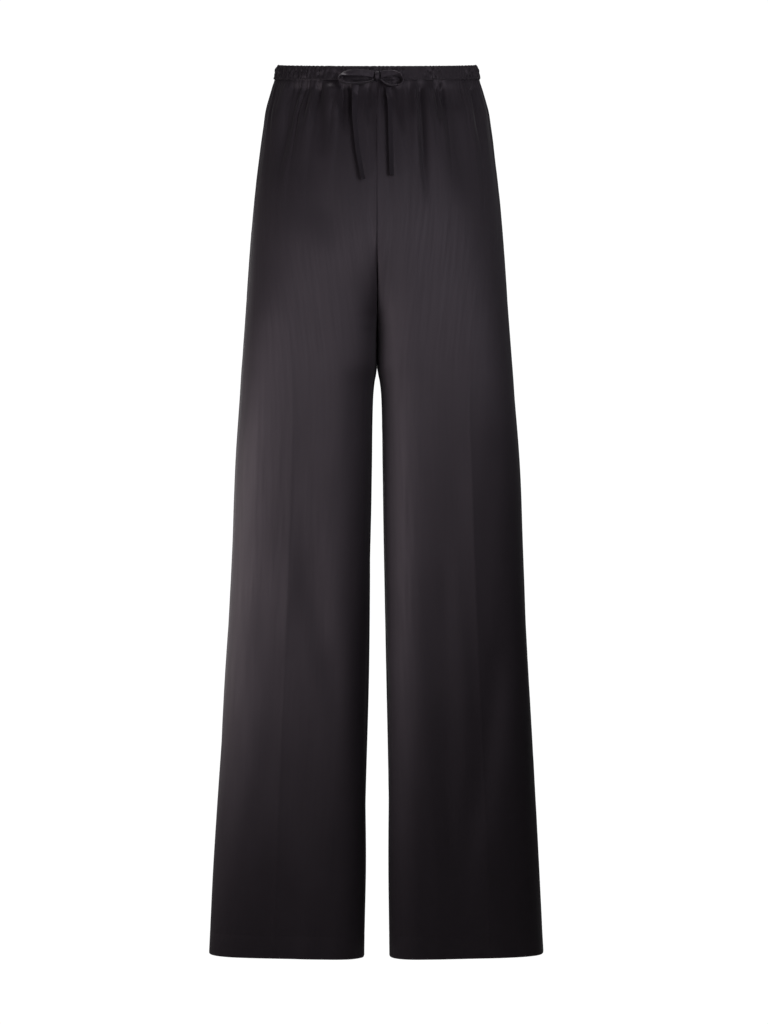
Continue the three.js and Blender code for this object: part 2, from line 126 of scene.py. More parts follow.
SECTIONS = (
    Section(0.002, 0.1254, 0, -0.086, 0.090, 0.93, 0.002, 0, 0),
    Section(-0.017, 0.1285, 0, -0.088, 0.093, 0.92, 0.002, 0, 0),
    Section(-0.033, 0.133, 0, -0.091, 0.098, 0.90, 0.002, 0, 0),
    Section(-0.056, 0.1394, 0, -0.097, 0.104, 0.87, 0.002, 0, 0),
    Section(-0.075, 0.1419, 0, -0.101, 0.109, 0.85, 0.002, 0, 0),
    Section(-0.112, 0.1469, 0, -0.107, 0.117, 0.82, 0.003, 0, 0),
    Section(-0.150, 0.152, 0, -0.11, 0.121, 0.79, 0.003, 0, 0),
    Section(-0.200, 0.157, 0, -0.1113, 0.123, 0.77, 0.003, 0, 0),
    Section(-0.250, 0.161, 0, -0.1106, 0.122, 0.76, 0.004, 0, 0),
    Section(-0.310, 0.165, 0, -0.1082, 0.1186, 0.76, 0.004, 0, 0.000275),
    Section(-0.356, 0.1682, 0, -0.1056, 0.1152, 0.76, 0.004, 0.03, 0.00066),
    Section(-0.370, 0.1691, 0, -0.1047, 0.1142, 0.76, 0.004, 0.04, 0.00083),
    Section(-0.383, 0.170, 0.0010, -0.1039, 0.1132, 0.76, 0.004, 0.05, 0.00099),
    Section(-0.395, 0.1707, 0.0036, -0.1031, 0.1122, 0.76, 0.004, 0.056, 0.0011),
    Section(-0.420, 0.172, 0.0056, -0.1014, 0.1102, 0.76, 0.004, 0.07, 0.00132),
    Section(-0.500, 0.1774, 0.0068, -0.0964, 0.1044, 0.76, 0.004, 0.11, 0.00165),
    Section(-0.600, 0.1818, 0.0082, -0.0906, 0.0978, 0.76, 0.004, 0.14, 0.00165),
    Section(-0.720, 0.1883, 0.0104, -0.0848, 0.0912, 0.76, 0.004, 0.16, 0.00143),
    Section(-0.870, 0.197, 0.0136, -0.0792, 0.0848, 0.76, 0.004, 0.18, 0.00121),
    Section(-1.000, 0.204, 0.0158, -0.0758, 0.0808, 0.76, 0.004, 0.19, 0.00099),
    Section(HEM_Z, 0.2096, 0.017, -0.0738, 0.0784, 0.76, 0.004, 0.20, 0.00077),
)


@dataclass(frozen=True)
class Fold:
    """A soft trough (rise below 0) or ridge on a panel, straight from x0, z0 to x1, z1.

    x is measured from the centre.
    """

    x0: float
    z0: float
    x1: float
    z1: float
    width: float
    rise: float


@dataclass(frozen=True)
class PanelPlan:
    """One leg panel: where it is, its seed, its pressed crease (0 side seam, 1 inseam) and its folds."""

    face: Face
    side: Side
    seed: int
    crease: float
    folds: tuple[Fold, ...]

    @property
    def node(self) -> str:
        """Name of the solid that the panel stands for."""
        return f"panel_{self.face.value}_{self.side.name.lower()}"


PANELS = (
    PanelPlan(Face.FRONT, Side.RIGHT, 13, 0.452, (
        Fold(0.097, -0.016, 0.124, -0.132, 0.010, -0.0060),
        Fold(0.112, -0.018, 0.136, -0.100, 0.007, 0.0020),
        Fold(0.056, -0.020, 0.056, -0.062, 0.009, 0.0036),
        Fold(0.044, -0.016, 0.040, -0.078, 0.0045, -0.0056),
        Fold(0.034, -0.018, 0.031, -0.070, 0.0035, -0.0044),
        Fold(0.074, -0.018, 0.070, -0.104, 0.007, -0.0054),
        Fold(0.086, -0.016, 0.092, -0.070, 0.004, -0.0040),
        Fold(0.012, -0.018, 0.010, -0.070, 0.004, -0.0036),
        Fold(0.006, -0.060, 0.003, -0.124, 0.005, -0.0020),
        Fold(0.084, -0.120, 0.060, -0.230, 0.024, -0.0030),
        Fold(0.080, -0.640, 0.036, -0.860, 0.020, -0.0042),
        Fold(0.140, -0.760, 0.100, -0.980, 0.024, -0.0034),
    )),
    PanelPlan(Face.FRONT, Side.LEFT, 57, 0.408, (
        Fold(0.0535, -0.016, 0.0600, -0.160, 0.0042, -0.0070),
        Fold(0.046, -0.020, 0.050, -0.110, 0.005, 0.0024),
        Fold(0.064, -0.020, 0.074, -0.130, 0.007, 0.0024),
        Fold(0.072, -0.016, 0.077, -0.064, 0.003, -0.0050),
        Fold(0.080, -0.016, 0.084, -0.070, 0.0045, -0.0060),
        Fold(0.026, -0.016, 0.032, -0.080, 0.005, -0.0050),
        Fold(0.040, -0.016, 0.044, -0.060, 0.004, -0.0034),
        Fold(0.094, -0.030, 0.108, -0.160, 0.012, -0.0044),
        Fold(0.120, -0.016, 0.128, -0.090, 0.006, -0.0044),
        Fold(0.072, -0.700, 0.096, -1.040, 0.020, -0.0042),
        Fold(0.150, -0.760, 0.116, -1.000, 0.020, -0.0034),
    )),
    PanelPlan(Face.BACK, Side.RIGHT, 31, 0.46, (
        Fold(0.030, -0.016, 0.032, -0.122, 0.008, -0.0064),
        Fold(0.072, -0.016, 0.088, -0.150, 0.009, -0.0070),
        Fold(0.050, -0.018, 0.054, -0.090, 0.005, -0.0044),
        Fold(0.100, -0.020, 0.112, -0.110, 0.007, 0.0022),
        Fold(0.118, -0.016, 0.126, -0.080, 0.005, -0.0040),
        Fold(0.084, -0.660, 0.050, -0.930, 0.020, -0.0042),
        Fold(0.140, -0.500, 0.110, -0.740, 0.024, -0.0032),
    )),
    PanelPlan(Face.BACK, Side.LEFT, 79, 0.44, (
        Fold(0.040, -0.016, 0.048, -0.140, 0.009, -0.0072),
        Fold(0.086, -0.016, 0.100, -0.120, 0.008, -0.0060),
        Fold(0.062, -0.018, 0.066, -0.084, 0.005, -0.0044),
        Fold(0.018, -0.020, 0.020, -0.086, 0.005, 0.0020),
        Fold(0.112, -0.016, 0.120, -0.086, 0.005, -0.0040),
        Fold(0.066, -0.700, 0.104, -0.980, 0.020, -0.0042),
        Fold(0.130, -0.480, 0.090, -0.700, 0.024, -0.0032),
    )),
)

# Stretches of the front waist where the cloth lies almost smooth, from and to in x.
SMOOTH_STRETCHES = ((-0.038, -0.015), (0.035, 0.058), (0.084, 0.108))

# ---------------------------------------------------------------- small numeric tools


def ease(t: Array) -> Array:
    """Smooth step from 0 to 1: 3t² - 2t³ of t held between 0 and 1."""
    held = np.clip(t, 0, 1)
    return held * held * (3 - 2 * held)


def bell(distance: Array, width: float) -> Array:
    """Bell curve of a distance: exp(-(distance / width)²)."""
    return np.exp(-((distance / width) ** 2))


class Unevenness:
    """Smooth seeded unevenness between -1 and 1, one bump a unit."""

    SIZE = 64

    def __init__(self, seed: int) -> None:
        """Fills a wrapped grid of values from the seed."""
        self.table = np.random.default_rng(seed).uniform(-1, 1, (self.SIZE, self.SIZE))

    def at(self, u: Array, v: Array | float = 0.0) -> Array:
        """The values at places u, v.

        Formula: the four grid values round the place, weighted by eased shares of the place in
        its square.

        Args:
            u: places across.
            v: places along.

        Returns:
            A value for each place.
        """
        u, v = np.broadcast_arrays(np.asarray(u, float), np.asarray(v, float))
        i, j = np.floor(u).astype(int), np.floor(v).astype(int)
        a, b = ease(u - i), ease(v - j)
        corner = [[self.table[(i + p) % self.SIZE, (j + q) % self.SIZE] for q in (0, 1)] for p in (0, 1)]
        near = corner[0][0] * (1 - b) + corner[0][1] * b
        far = corner[1][0] * (1 - b) + corner[1][1] * b
        return near * (1 - a) + far * a


def unit(vectors: Array) -> Array:
    """Vectors along the last axis, each divided by its length."""
    return vectors / np.maximum(np.linalg.norm(vectors, axis=-1, keepdims=True), 1e-12)


def joined(*coordinates: Array) -> Array:
    """Points from their coordinates, which are spread to one shape."""
    return np.stack(np.broadcast_arrays(*coordinates), axis=-1)


def cubic(t: Array, start: Array, end: Array, slope_a: Array, slope_b: Array) -> Array:
    """A cubic from start to end with given slopes there, at t from 0 to 1."""
    ends = (2 * t**3 - 3 * t**2 + 1) * start + (3 * t**2 - 2 * t**3) * end
    return ends + (t**3 - 2 * t**2 + t) * slope_a + (t**3 - t**2) * slope_b


# ---------------------------------------------------------------- meshes


class MeshWriter:
    """Turns arrays of points and faces into finished objects."""

    @staticmethod
    def grid_faces(rows: int, columns: int, wrap: bool = False) -> Array:
        """Quads between the points of a grid.

        Args:
            rows: rows of points.
            columns: points in a row.
            wrap: True where each row closes on itself.

        Returns:
            An array of quads.
        """
        across = np.arange(columns if wrap else columns - 1)
        beside = (across + 1) % columns
        start = np.arange(rows - 1)[:, None] * columns
        corners = (start + across, start + beside, start + columns + beside, start + columns + across)
        return np.stack(corners, axis=-1).reshape(-1, 4)

    @staticmethod
    def outward(points: Array, quads: Array) -> Array:
        """The quads, turned over where the volume that they close is below 0, so inside out."""
        a, b, c, d = (points[quads[:, k]] for k in range(4))
        volume = np.einsum("ij,ij->", a, np.cross(b, c)) + np.einsum("ij,ij->", a, np.cross(c, d))
        return quads[:, ::-1] if volume < 0 else quads

    @staticmethod
    def write(name: str, points: Array, quads: Array, finishes: list, picked: Array | None = None,
              cloth: Array | None = None, crisp: Array | None = None) -> Piece:
        """Writes a mesh and links it as an object at the origin.

        Args:
            name: the object's name.
            points: its points.
            quads: its faces; a triangle repeats its last point.
            finishes: its materials.
            picked: number of the material of each face.
            cloth: place of each point on the flat cloth, in metres.
            crisp: True for each face that is shaded flat, such as a cut edge's.

        Returns:
            The new object.
        """
        flat = quads.ravel()
        triangle = quads[:, 2] == quads[:, 3]
        keep = np.ones(quads.shape, bool)
        keep[triangle, 3] = False
        loops = flat[keep.ravel()]
        sizes = keep.sum(axis=1)
        mesh = bpy.data.meshes.new(name)
        mesh.vertices.add(len(points))
        mesh.vertices.foreach_set("co", points.astype(np.float32).ravel())
        mesh.loops.add(len(loops))
        mesh.loops.foreach_set("vertex_index", loops.astype(np.int32))
        mesh.polygons.add(len(quads))
        starts = np.concatenate(([0], np.cumsum(sizes)[:-1]))
        mesh.polygons.foreach_set("loop_start", starts.astype(np.int32))
        for finish in finishes:
            mesh.materials.append(finish)
        if picked is not None:
            mesh.polygons.foreach_set("material_index", picked.astype(np.int32))
        if cloth is not None:
            layer = mesh.uv_layers.new(name="cloth")
            layer.data.foreach_set("uv", cloth[loops].astype(np.float32).ravel())
        mesh.update(calc_edges=True)
        mesh.validate()
        mesh.shade_smooth()
        if crisp is not None:
            mesh.polygons.foreach_set("use_smooth", ~crisp)
        piece = bpy.data.objects.new(name, mesh)
        bpy.context.scene.collection.objects.link(piece)
        return piece


def place_for(piece: Piece, node: str | None = None) -> None:
    """Lets a piece ride on the body and puts it in place of its solid, if it has one.

    Args:
        piece: the piece.
        node: the solid that it stands for.
    """
    if node is not None:
        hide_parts(node)
    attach(piece, "root")
    log.info("%s: %d faces", piece.name, len(piece.data.polygons))


# ---------------------------------------------------------------- finishes


def linear(code: str) -> tuple[float, float, float, float]:
    """An sRGB hex colour as linear red, green, blue and alpha."""
    shares = [int(code[i : i + 2], 16) / 255 for i in (1, 3, 5)]
    return tuple([c / 12.92 if c <= 0.04045 else ((c + 0.055) / 1.055) ** 2.4 for c in shares] + [1.0])


def add_node(tree: bpy.types.NodeTree, kind: str, inputs: dict | None = None,
             **settings) -> bpy.types.Node:
    """Adds a node with its settings, values and links.

    Args:
        tree: the node tree.
        kind: the node's type.
        inputs: a value, or the output that is linked in, for each input by name or number.
        settings: the node's own properties.

    Returns:
        The new node.
    """
    node = tree.nodes.new(kind)
    for name, value in settings.items():
        setattr(node, name, value)
    for name, value in (inputs or {}).items():
        if isinstance(value, bpy.types.NodeSocket):
            tree.links.new(value, node.inputs[name])
        else:
            node.inputs[name].default_value = value
    return node


FLOAT_LENGTH = 9  # length of a float of the weave, in threads
SLUB_WIDTH = 0.004
SLUB_LENGTH = 0.09
UNEVEN_POLISH = 0.04  # how far the roughness strays


@dataclass(frozen=True)
class Cloth:
    """A woven finish.

    light and dark are the two ends of the dye's slight unevenness. gloss is the strength of its
    highlights and anisotropy how far they are drawn out across the floats. thread is the distance
    between two threads of the weave, drawn coarser than the real 0.1 mm so that it shows; relief
    is their height and slub that of the thicker yarns.
    """

    name: str
    light: str
    dark: str
    roughness: float
    gloss: float
    anisotropy: float
    sheen: float
    thread: float
    relief: float
    slub: float
    shine: str = "#fff0fb"  # tint of its highlights

    def material(self) -> Material:
        """Builds the material.

        The weave is two bumps on the flat cloth's own map: a fine noise that is drawn out along
        the warp's floats, and a broader one for slubs, which also makes the polish uneven. A
        cloudy noise carries the dye's unevenness.

        Returns:
            The material.
        """
        material = bpy.data.materials.new(self.name)
        material.use_nodes = True
        tree = material.node_tree
        tree.nodes.clear()
        place = add_node(tree, "ShaderNodeUVMap", uv_map="cloth").outputs["UV"]
        object_place = add_node(tree, "ShaderNodeTexCoord").outputs["Object"]
        floats = add_node(tree, "ShaderNodeMapping", {
            "Vector": place, "Scale": (1 / self.thread, 1 / (FLOAT_LENGTH * self.thread), 1)})
        float_noise = add_node(tree, "ShaderNodeTexNoise", {
            "Vector": floats.outputs["Vector"], "Scale": 1.0, "Detail": 2.0, "Roughness": 0.6})
        slubs = add_node(tree, "ShaderNodeMapping", {
            "Vector": place, "Scale": (1 / SLUB_WIDTH, 1 / SLUB_LENGTH, 1)})
        slub_noise = add_node(tree, "ShaderNodeTexNoise", {
            "Vector": slubs.outputs["Vector"], "Scale": 1.0, "Detail": 3.0, "Roughness": 0.5})
        cloud = add_node(tree, "ShaderNodeTexNoise", {
            "Vector": object_place, "Scale": 14.0, "Detail": 3.0, "Roughness": 0.55})
        # A Mix node keeps one A and B for each kind of data; those of colours are 6 and 7.
        tone = add_node(tree, "ShaderNodeMix", {
            "Factor": cloud.outputs["Fac"], 6: linear(self.dark), 7: linear(self.light),
        }, data_type="RGBA")
        polish = add_node(tree, "ShaderNodeMapRange", {
            "Value": slub_noise.outputs["Fac"], "From Min": 0.3, "From Max": 0.7,
            "To Min": self.roughness - UNEVEN_POLISH, "To Max": self.roughness + UNEVEN_POLISH})
        weave = add_node(tree, "ShaderNodeBump", {
            "Strength": 1.0, "Distance": self.relief, "Height": float_noise.outputs["Fac"]})
        slubbed = add_node(tree, "ShaderNodeBump", {
            "Strength": 1.0, "Distance": self.slub, "Height": slub_noise.outputs["Fac"],
            "Normal": weave.outputs["Normal"]})
        tangent = add_node(tree, "ShaderNodeTangent", direction_type="UV_MAP", uv_map="cloth")
        shader = add_node(tree, "ShaderNodeBsdfPrincipled", {
            "Base Color": tone.outputs[2], "Roughness": polish.outputs["Result"],
            "Specular IOR Level": self.gloss, "Specular Tint": linear(self.shine),
            "Anisotropic": self.anisotropy, "Tangent": tangent.outputs["Tangent"],
            "Sheen Weight": self.sheen, "Sheen Roughness": 0.4, "Normal": slubbed.outputs["Normal"]})
        add_node(tree, "ShaderNodeOutputMaterial", {"Surface": shader.outputs["BSDF"]})
        return material


# Polyester satin, woven with long floats on its face: deep black, with a broad soft shine across
# the floats.
SATIN_FACE = Cloth(
    "black_satin_face", light="#2c272c", dark="#231f23", roughness=0.56, gloss=0.5,
    anisotropy=0.80, sheen=0.06, thread=0.0009, relief=0.00003, slub=0.00005)
# The wrong side of the same cloth, where the floats don't show: duller and a little browner.
SATIN_BACK = Cloth(
    "black_satin_wrong_side", light="#242223", dark="#1d1b1c", roughness=0.62, gloss=0.35,
    anisotropy=0.0, sheen=0.05, thread=0.0008, relief=0.00004, slub=0.00003)
# The tie, a folded strip of the satin that was pressed flat: its highlights are rounder, and it is
# a little lighter.
TIE_SATIN = Cloth(
    "pressed_satin_tie", light="#2e292f", dark="#231f24", roughness=0.56, gloss=0.5,
    anisotropy=0.2, sheen=0.08, thread=0.0006, relief=0.00003, slub=0.00003)
# Spun polyester sewing thread: matt, with a slight sheen on its twist.
THREAD = Cloth(
    "polyester_thread", light="#232124", dark="#1c1a1d", roughness=0.62, gloss=0.4,
    anisotropy=0.0, sheen=0.1, thread=0.0003, relief=0.00002, slub=0.00001)


# ---------------------------------------------------------------- studio


@dataclass(frozen=True)
class SoftLight:
    """A rectangular soft light: its place, aim, width and height, power and spread."""

    name: str
    place: tuple[float, float, float]
    aim: tuple[float, float, float]
    size: tuple[float, float]
    power: float
    spread: float
    color: str = "#ffffff"


@dataclass(frozen=True)
class Studio:
    """Camera, soft lights, a white surround and a small pale floor below the hems."""

    distance: float = 5.0
    centre_x: float = 0.0088
    centre_z: float = -0.5594
    lens: float = 140.15
    sensor: float = 36.0
    floor_z: float = -1.30
    floor_radius: float = 0.75
    surround: float = 0.028  # how strongly the white surround lights the cloth
    backdrop: float = 1.05  # how bright it looks itself
    lights: tuple[SoftLight, ...] = (
        SoftLight("key_left", (-1.0, 0.05, -0.62), (0, 0, -0.62), (0.7, 0.4), 0.85, 100, "#fffaf6"),
        SoftLight("side_left", (-0.95, -0.5, -0.54), (0.02, 0, -0.54), (0.3, 0.6), 0.3, 90, "#fffaf6"),
        SoftLight("front_left", (-0.62, -0.72, -0.52), (0, 0, -0.52), (1, 0.75), 1.54, 104, "#fffbff"),
        SoftLight("front_right", (0.62, -1.15, -0.14), (0, 0, -0.18), (0.5, 0.5), 0.9, 84, "#f8f8ff"),
        SoftLight("high_right", (0.42, -1.02, 0.40), (0.04, 0, -0.08), (0.5, 0.4), 0.15, 60, "#f8f8ff"),
        SoftLight("top", (0, 0.7, 1.6), (0, 0.3, -1.3), (2, 2), 14, 100),
        SoftLight("back", (-0.6, 2.4, -0.4), (0, 0, -0.5), (1.4, 1), 3.5, 130),
    )

    def make_camera(self) -> None:
        """Sets the camera level, straight in front, at the height of the middle of the frame."""
        camera = bpy.data.cameras.new("camera")
        camera.sensor_fit = "VERTICAL"
        camera.sensor_height = self.sensor
        camera.lens = self.lens
        holder = bpy.data.objects.new("camera", camera)
        holder.location = (self.centre_x, -self.distance, self.centre_z)
        holder.rotation_euler = (math.radians(90), 0, 0)
        bpy.context.scene.collection.objects.link(holder)
        bpy.context.scene.camera = holder

    def make_lights(self) -> None:
        """Sets each soft light so that its lamp looks from its place at its aim."""
        for light in self.lights:
            lamp = bpy.data.lights.new(light.name, "AREA")
            lamp.shape = "RECTANGLE"
            lamp.size, lamp.size_y = light.size
            lamp.energy = light.power
            lamp.spread = math.radians(light.spread)
            lamp.color = linear(light.color)[:3]
            holder = bpy.data.objects.new(light.name, lamp)
            place = np.array(light.place)
            way = np.array(light.aim) - place
            level = math.hypot(way[0], way[1])
            holder.location = place
            holder.rotation_euler = (math.atan2(level, -way[2]), 0, math.atan2(-way[0], way[1]))
            bpy.context.scene.collection.objects.link(holder)

    def make_surround(self) -> None:
        """Makes a white surround that lights the cloth only softly."""
        world = bpy.data.worlds.new("white_surround")
        world.use_nodes = True
        tree = world.node_tree
        tree.nodes.clear()
        seen = add_node(tree, "ShaderNodeLightPath").outputs["Is Camera Ray"]
        strength = add_node(tree, "ShaderNodeMapRange", {
            "Value": seen, "To Min": self.surround, "To Max": self.backdrop})
        sky = add_node(tree, "ShaderNodeBackground", {
            "Color": (1, 1, 1, 1), "Strength": strength.outputs["Result"]})
        add_node(tree, "ShaderNodeOutputWorld", {"Surface": sky.outputs["Background"]})
        bpy.context.scene.world = world
        bpy.context.scene.view_settings.view_transform = "Standard"

    def make_floor(self) -> None:
        """Makes a round pale floor with a softly curved rim, well below the hems."""
        turns, rings = 96, 12
        angle = np.linspace(0, 2 * np.pi, turns, endpoint=False)
        across = np.linspace(0, 1, rings)
        radius = self.floor_radius * across[:, None]
        drop = 0.012 * ease((across - 0.9) / 0.1)[:, None]
        x, y = radius * np.cos(angle), radius * np.sin(angle)
        points = joined(x, y, self.floor_z - drop).reshape(-1, 3)
        quads = MeshWriter.grid_faces(rings, turns, wrap=True)
        paint = bpy.data.materials.new("matt_floor_paint")
        paint.use_nodes = True
        shader = paint.node_tree.nodes["Principled BSDF"]
        shader.inputs["Base Color"].default_value = linear("#ececea")
        shader.inputs["Roughness"].default_value = 0.8
        MeshWriter.write("floor", points, quads[:, ::-1], [paint])

    def build(self) -> None:
        """Makes the camera, the lights, the surround and the floor."""
        self.make_camera()
        self.make_lights()
        self.make_surround()
        self.make_floor()
        log.info("studio: %d lights", len(self.lights))


# ---------------------------------------------------------------- the garment's form


class GarmentForm:
    """The plain form that all the cloth lies on, before its gathers and folds."""

    def __init__(self, sections: tuple[Section, ...]) -> None:
        """Keeps the sections as one array for each column."""
        names = Section.__annotations__
        self.columns = {name: np.array([getattr(row, name) for row in sections]) for name in names}

    def at(self, z: Array, name: str) -> Array:
        """One column of the table at given heights.

        Formula: a cubic through each two rows, whose end slopes are those between the rows on
        either side.

        Args:
            z: heights.
            name: the column.

        Returns:
            A value for each height.
        """
        height, column = self.columns["z"], self.columns[name]
        held = np.clip(z, height[-1], height[0])
        i = np.clip(np.searchsorted(-height, -held, side="right") - 1, 0, len(height) - 2)
        before, after = np.maximum(i - 1, 0), np.minimum(i + 2, len(height) - 1)
        span = height[i + 1] - height[i]
        t = (held - height[i]) / span
        slope_a = (column[i + 1] - column[before]) / (height[i + 1] - height[before]) * span
        slope_b = (column[after] - column[i]) / (height[after] - height[i]) * span
        return cubic(t, column[i], column[i + 1], slope_a, slope_b)

    def fork_share(self, face: Face, s: Array, z: Array) -> Array:
        """How far a section has changed from trunk to leg.

        Formula: eased down the panel; at its centre seam it is the fork's own curve, whose corner
        is blurred beside the seam.

        Args:
            face: front or back.
            s: places across, 0 at the side seam and 1 at the centre seam or inseam.
            z: heights.

        Returns:
            A share for each place.
        """
        eased = ease((LEG_START - z) / (LEG_START - LEG_END))
        near_seam = s**SEAM_SHARPNESS
        shifted = [self.fork_curve(face, z + shift) for shift in FORK_BLUR]
        blurred = sum(shifted) / len(FORK_BLUR)
        fork = near_seam * self.fork_curve(face, z) + (1 - near_seam) * blurred
        return eased + (fork - eased) * s**FORK_SHARPNESS

    @staticmethod
    def fork_curve(face: Face, z: Array) -> Array:
        """The centre seam's own share: a quarter ellipse from the upright down to the crotch."""
        drop = np.clip((face.crotch_start - z) / (face.crotch_start - CROTCH_Z), 0, 1)
        return 1 - np.sqrt(1 - drop * drop)

    def plain(self, face: Face, s: Array, z: Array) -> Array:
        """Points of the plain form, with y measured from the side seam.

        Formula: the trunk is a quarter of a squarish oval over the whole half-width and the leg is
        half of one about its own middle, y = depth (1 - |u|^(2/p))^(p/2) at the share u of the
        half-width; the fork share mixes the two.

        Args:
            face: front or back.
            s: places across, 0 at the side seam and 1 at the centre seam or inseam.
            z: heights.

        Returns:
            The points.
        """
        s, z = np.broadcast_arrays(np.asarray(s, float), np.asarray(z, float))
        depth = self.at(z, face.value) - self.at(z, "seam")
        outer, inner, power = self.at(z, "outer"), self.at(z, "inner"), self.at(z, "power")
        share = self.fork_share(face, s, z)
        middle, half = (outer + inner) / 2, (outer - inner) / 2
        trunk_x = outer * np.maximum(np.cos(s * np.pi / 2), 0) ** power
        x = trunk_x + (middle + half * np.cos(s * np.pi) - trunk_x) * share
        trunk = self.oval(x / outer, power)
        leg = self.oval((x - middle) / half, LEG_POWER)
        return joined(x, depth * (trunk + (leg - trunk) * share), z)

    @staticmethod
    def oval(u: Array, power: Array | float) -> Array:
        """Height of an oval of that power over the share u of its half-width."""
        return np.maximum(1 - np.abs(u) ** (2 / power), 0) ** (power / 2)

    def outward(self, face: Face, s: Array, z: Array) -> Array:
        """Unit vectors out of the plain form, from its slopes round and down the panel."""
        low, high = np.maximum(s - SIDE_STEP, 0), np.minimum(s + SIDE_STEP, 1)
        around = self.plain(face, high, z) - self.plain(face, low, z)
        down = self.plain(face, s, z - DOWN_STEP) - self.plain(face, s, z + DOWN_STEP)
        return unit(-face.out * np.cross(around, down))

    @staticmethod
    def tilt(y: Array, z: Array) -> Array:
        """Slant of the waist, which dips towards the front and levels out down the trunk."""
        level = np.clip(1 - (z - WAIST_TOP) / TILT_END, 0, 1)
        return y * np.where(y < 0, TILT_FRONT, TILT_BACK) * level

    def settle(self, face: Face, side: Side, points: Array, z: Array) -> Array:
        """Puts points that were worked out from the seam line into their place.

        They stay on their own side of the seams.

        Args:
            face: front or back.
            side: the wearer's right or left.
            points: points with y from the seam line.
            z: the heights that they were worked out at.

        Returns:
            The points in the part's frame.
        """
        x = np.maximum(points[..., 0], 0)
        from_seam = face.out * np.maximum(face.out * points[..., 1], 0)
        middle = (self.at(z, "outer") + self.at(z, "inner")) / 2
        y = self.at(z, "seam") + from_seam + self.at(z, "turn") * (x - middle)
        return joined(side.value * x, y, points[..., 2] + self.tilt(y, z))


class Gathers:
    """The gathers of the waist, alike on the casing and on the cloth that hangs from it."""

    PITCH = 0.0063  # of two gathers on the casing
    DRIFT, DRIFT_LENGTH = 0.9, 0.017  # how far the count of gathers strays, and over what length
    LEAN, LEAN_LENGTH = 0.16, 0.045  # how far the gathers lean, and over what length they turn
    FADES = (0.014, 0.040, 0.085)  # depths over which single, paired and merged gathers die down
    SHARES = (0.62, 0.80, 1.05)
    ROUNDING = 0.02
    MEAN = 0.64  # of the ridges, taken off so that they lie about 0
    STEPS = 401  # places where the waist's length is measured

    def __init__(self, form: GarmentForm) -> None:
        """Measures the waist round the form.

        Args:
            form: the garment's form.
        """
        self.steps = np.linspace(0, 1, self.STEPS)
        self.arcs = {}
        for face in Face:
            ring = form.plain(face, self.steps, np.full(self.STEPS, WAIST_SEAM))
            lengths = np.linalg.norm(np.diff(ring, axis=0), axis=1)
            self.arcs[face] = np.concatenate((np.cumsum(lengths[::-1])[::-1], [0]))
        self.drift = Unevenness(5)
        self.lean = Unevenness(6)
        self.size = Unevenness(7)

    def waist(self, face: Face, side: Side, s: Array) -> Array:
        """Signed way round the waist from the centre seam, in metres."""
        return side.value * np.interp(s, self.steps, self.arcs[face])

    def strength(self, face: Face, way: Array) -> Array:
        """How strongly the cloth is gathered, 0 to 1: uneven, and slack in the smooth stretches."""
        uneven = 0.72 + 0.28 * self.size.at(way / 0.021, face.out + 2.5)
        if face is Face.BACK:
            return uneven
        smooth = np.zeros(np.shape(way))
        for start, end in SMOOTH_STRETCHES:
            smooth = smooth + ease((way - start + 0.004) / 0.006) * ease((end + 0.004 - way) / 0.006)
        return uneven * (1 - 0.8 * np.clip(smooth, 0, 1))

    def ridges(self, count: Array) -> Array:
        """Round ridges with narrow valleys, about 0.

        Formula: the root of sin² of half a turn a ridge, plus a little that rounds the valleys.
        """
        return np.sqrt(np.sin(np.pi * count) ** 2 + self.ROUNDING) - self.MEAN

    def height(self, face: Face, side: Side, s: Array, depth: Array) -> Array:
        """Height of the gathers, about -1 to 1.

        Formula: three waves of ridges, each twice as wide as the last and dying down deeper, on a
        count of gathers that drifts round the waist and leans as it goes down.

        Args:
            face: front or back.
            side: the wearer's right or left.
            s: places across the panel.
            depth: how far below the waist seam, 0 on the casing.

        Returns:
            The heights.
        """
        way = self.waist(face, side, s)
        row = 3.0 * face.out
        leaning = way + self.LEAN * depth * self.lean.at(way / self.LEAN_LENGTH, row)
        count = leaning / self.PITCH + self.DRIFT * self.drift.at(leaning / self.DRIFT_LENGTH, row)
        total = np.zeros(np.broadcast(way, depth).shape)
        for level, (fade, share) in enumerate(zip(self.FADES, self.SHARES)):
            single = count / 2**level + 0.25 * level
            each = 0.65 + 0.35 * self.size.at(np.floor(single) * 1.37, row + level)
            swell = 1 if level == 0 else 1 - np.exp(-depth / (0.35 * fade))
            total = total + share * each * swell * np.exp(-((depth / fade) ** 1.4)) * self.ridges(single)
        return self.strength(face, way) * total


# ---------------------------------------------------------------- leg panels


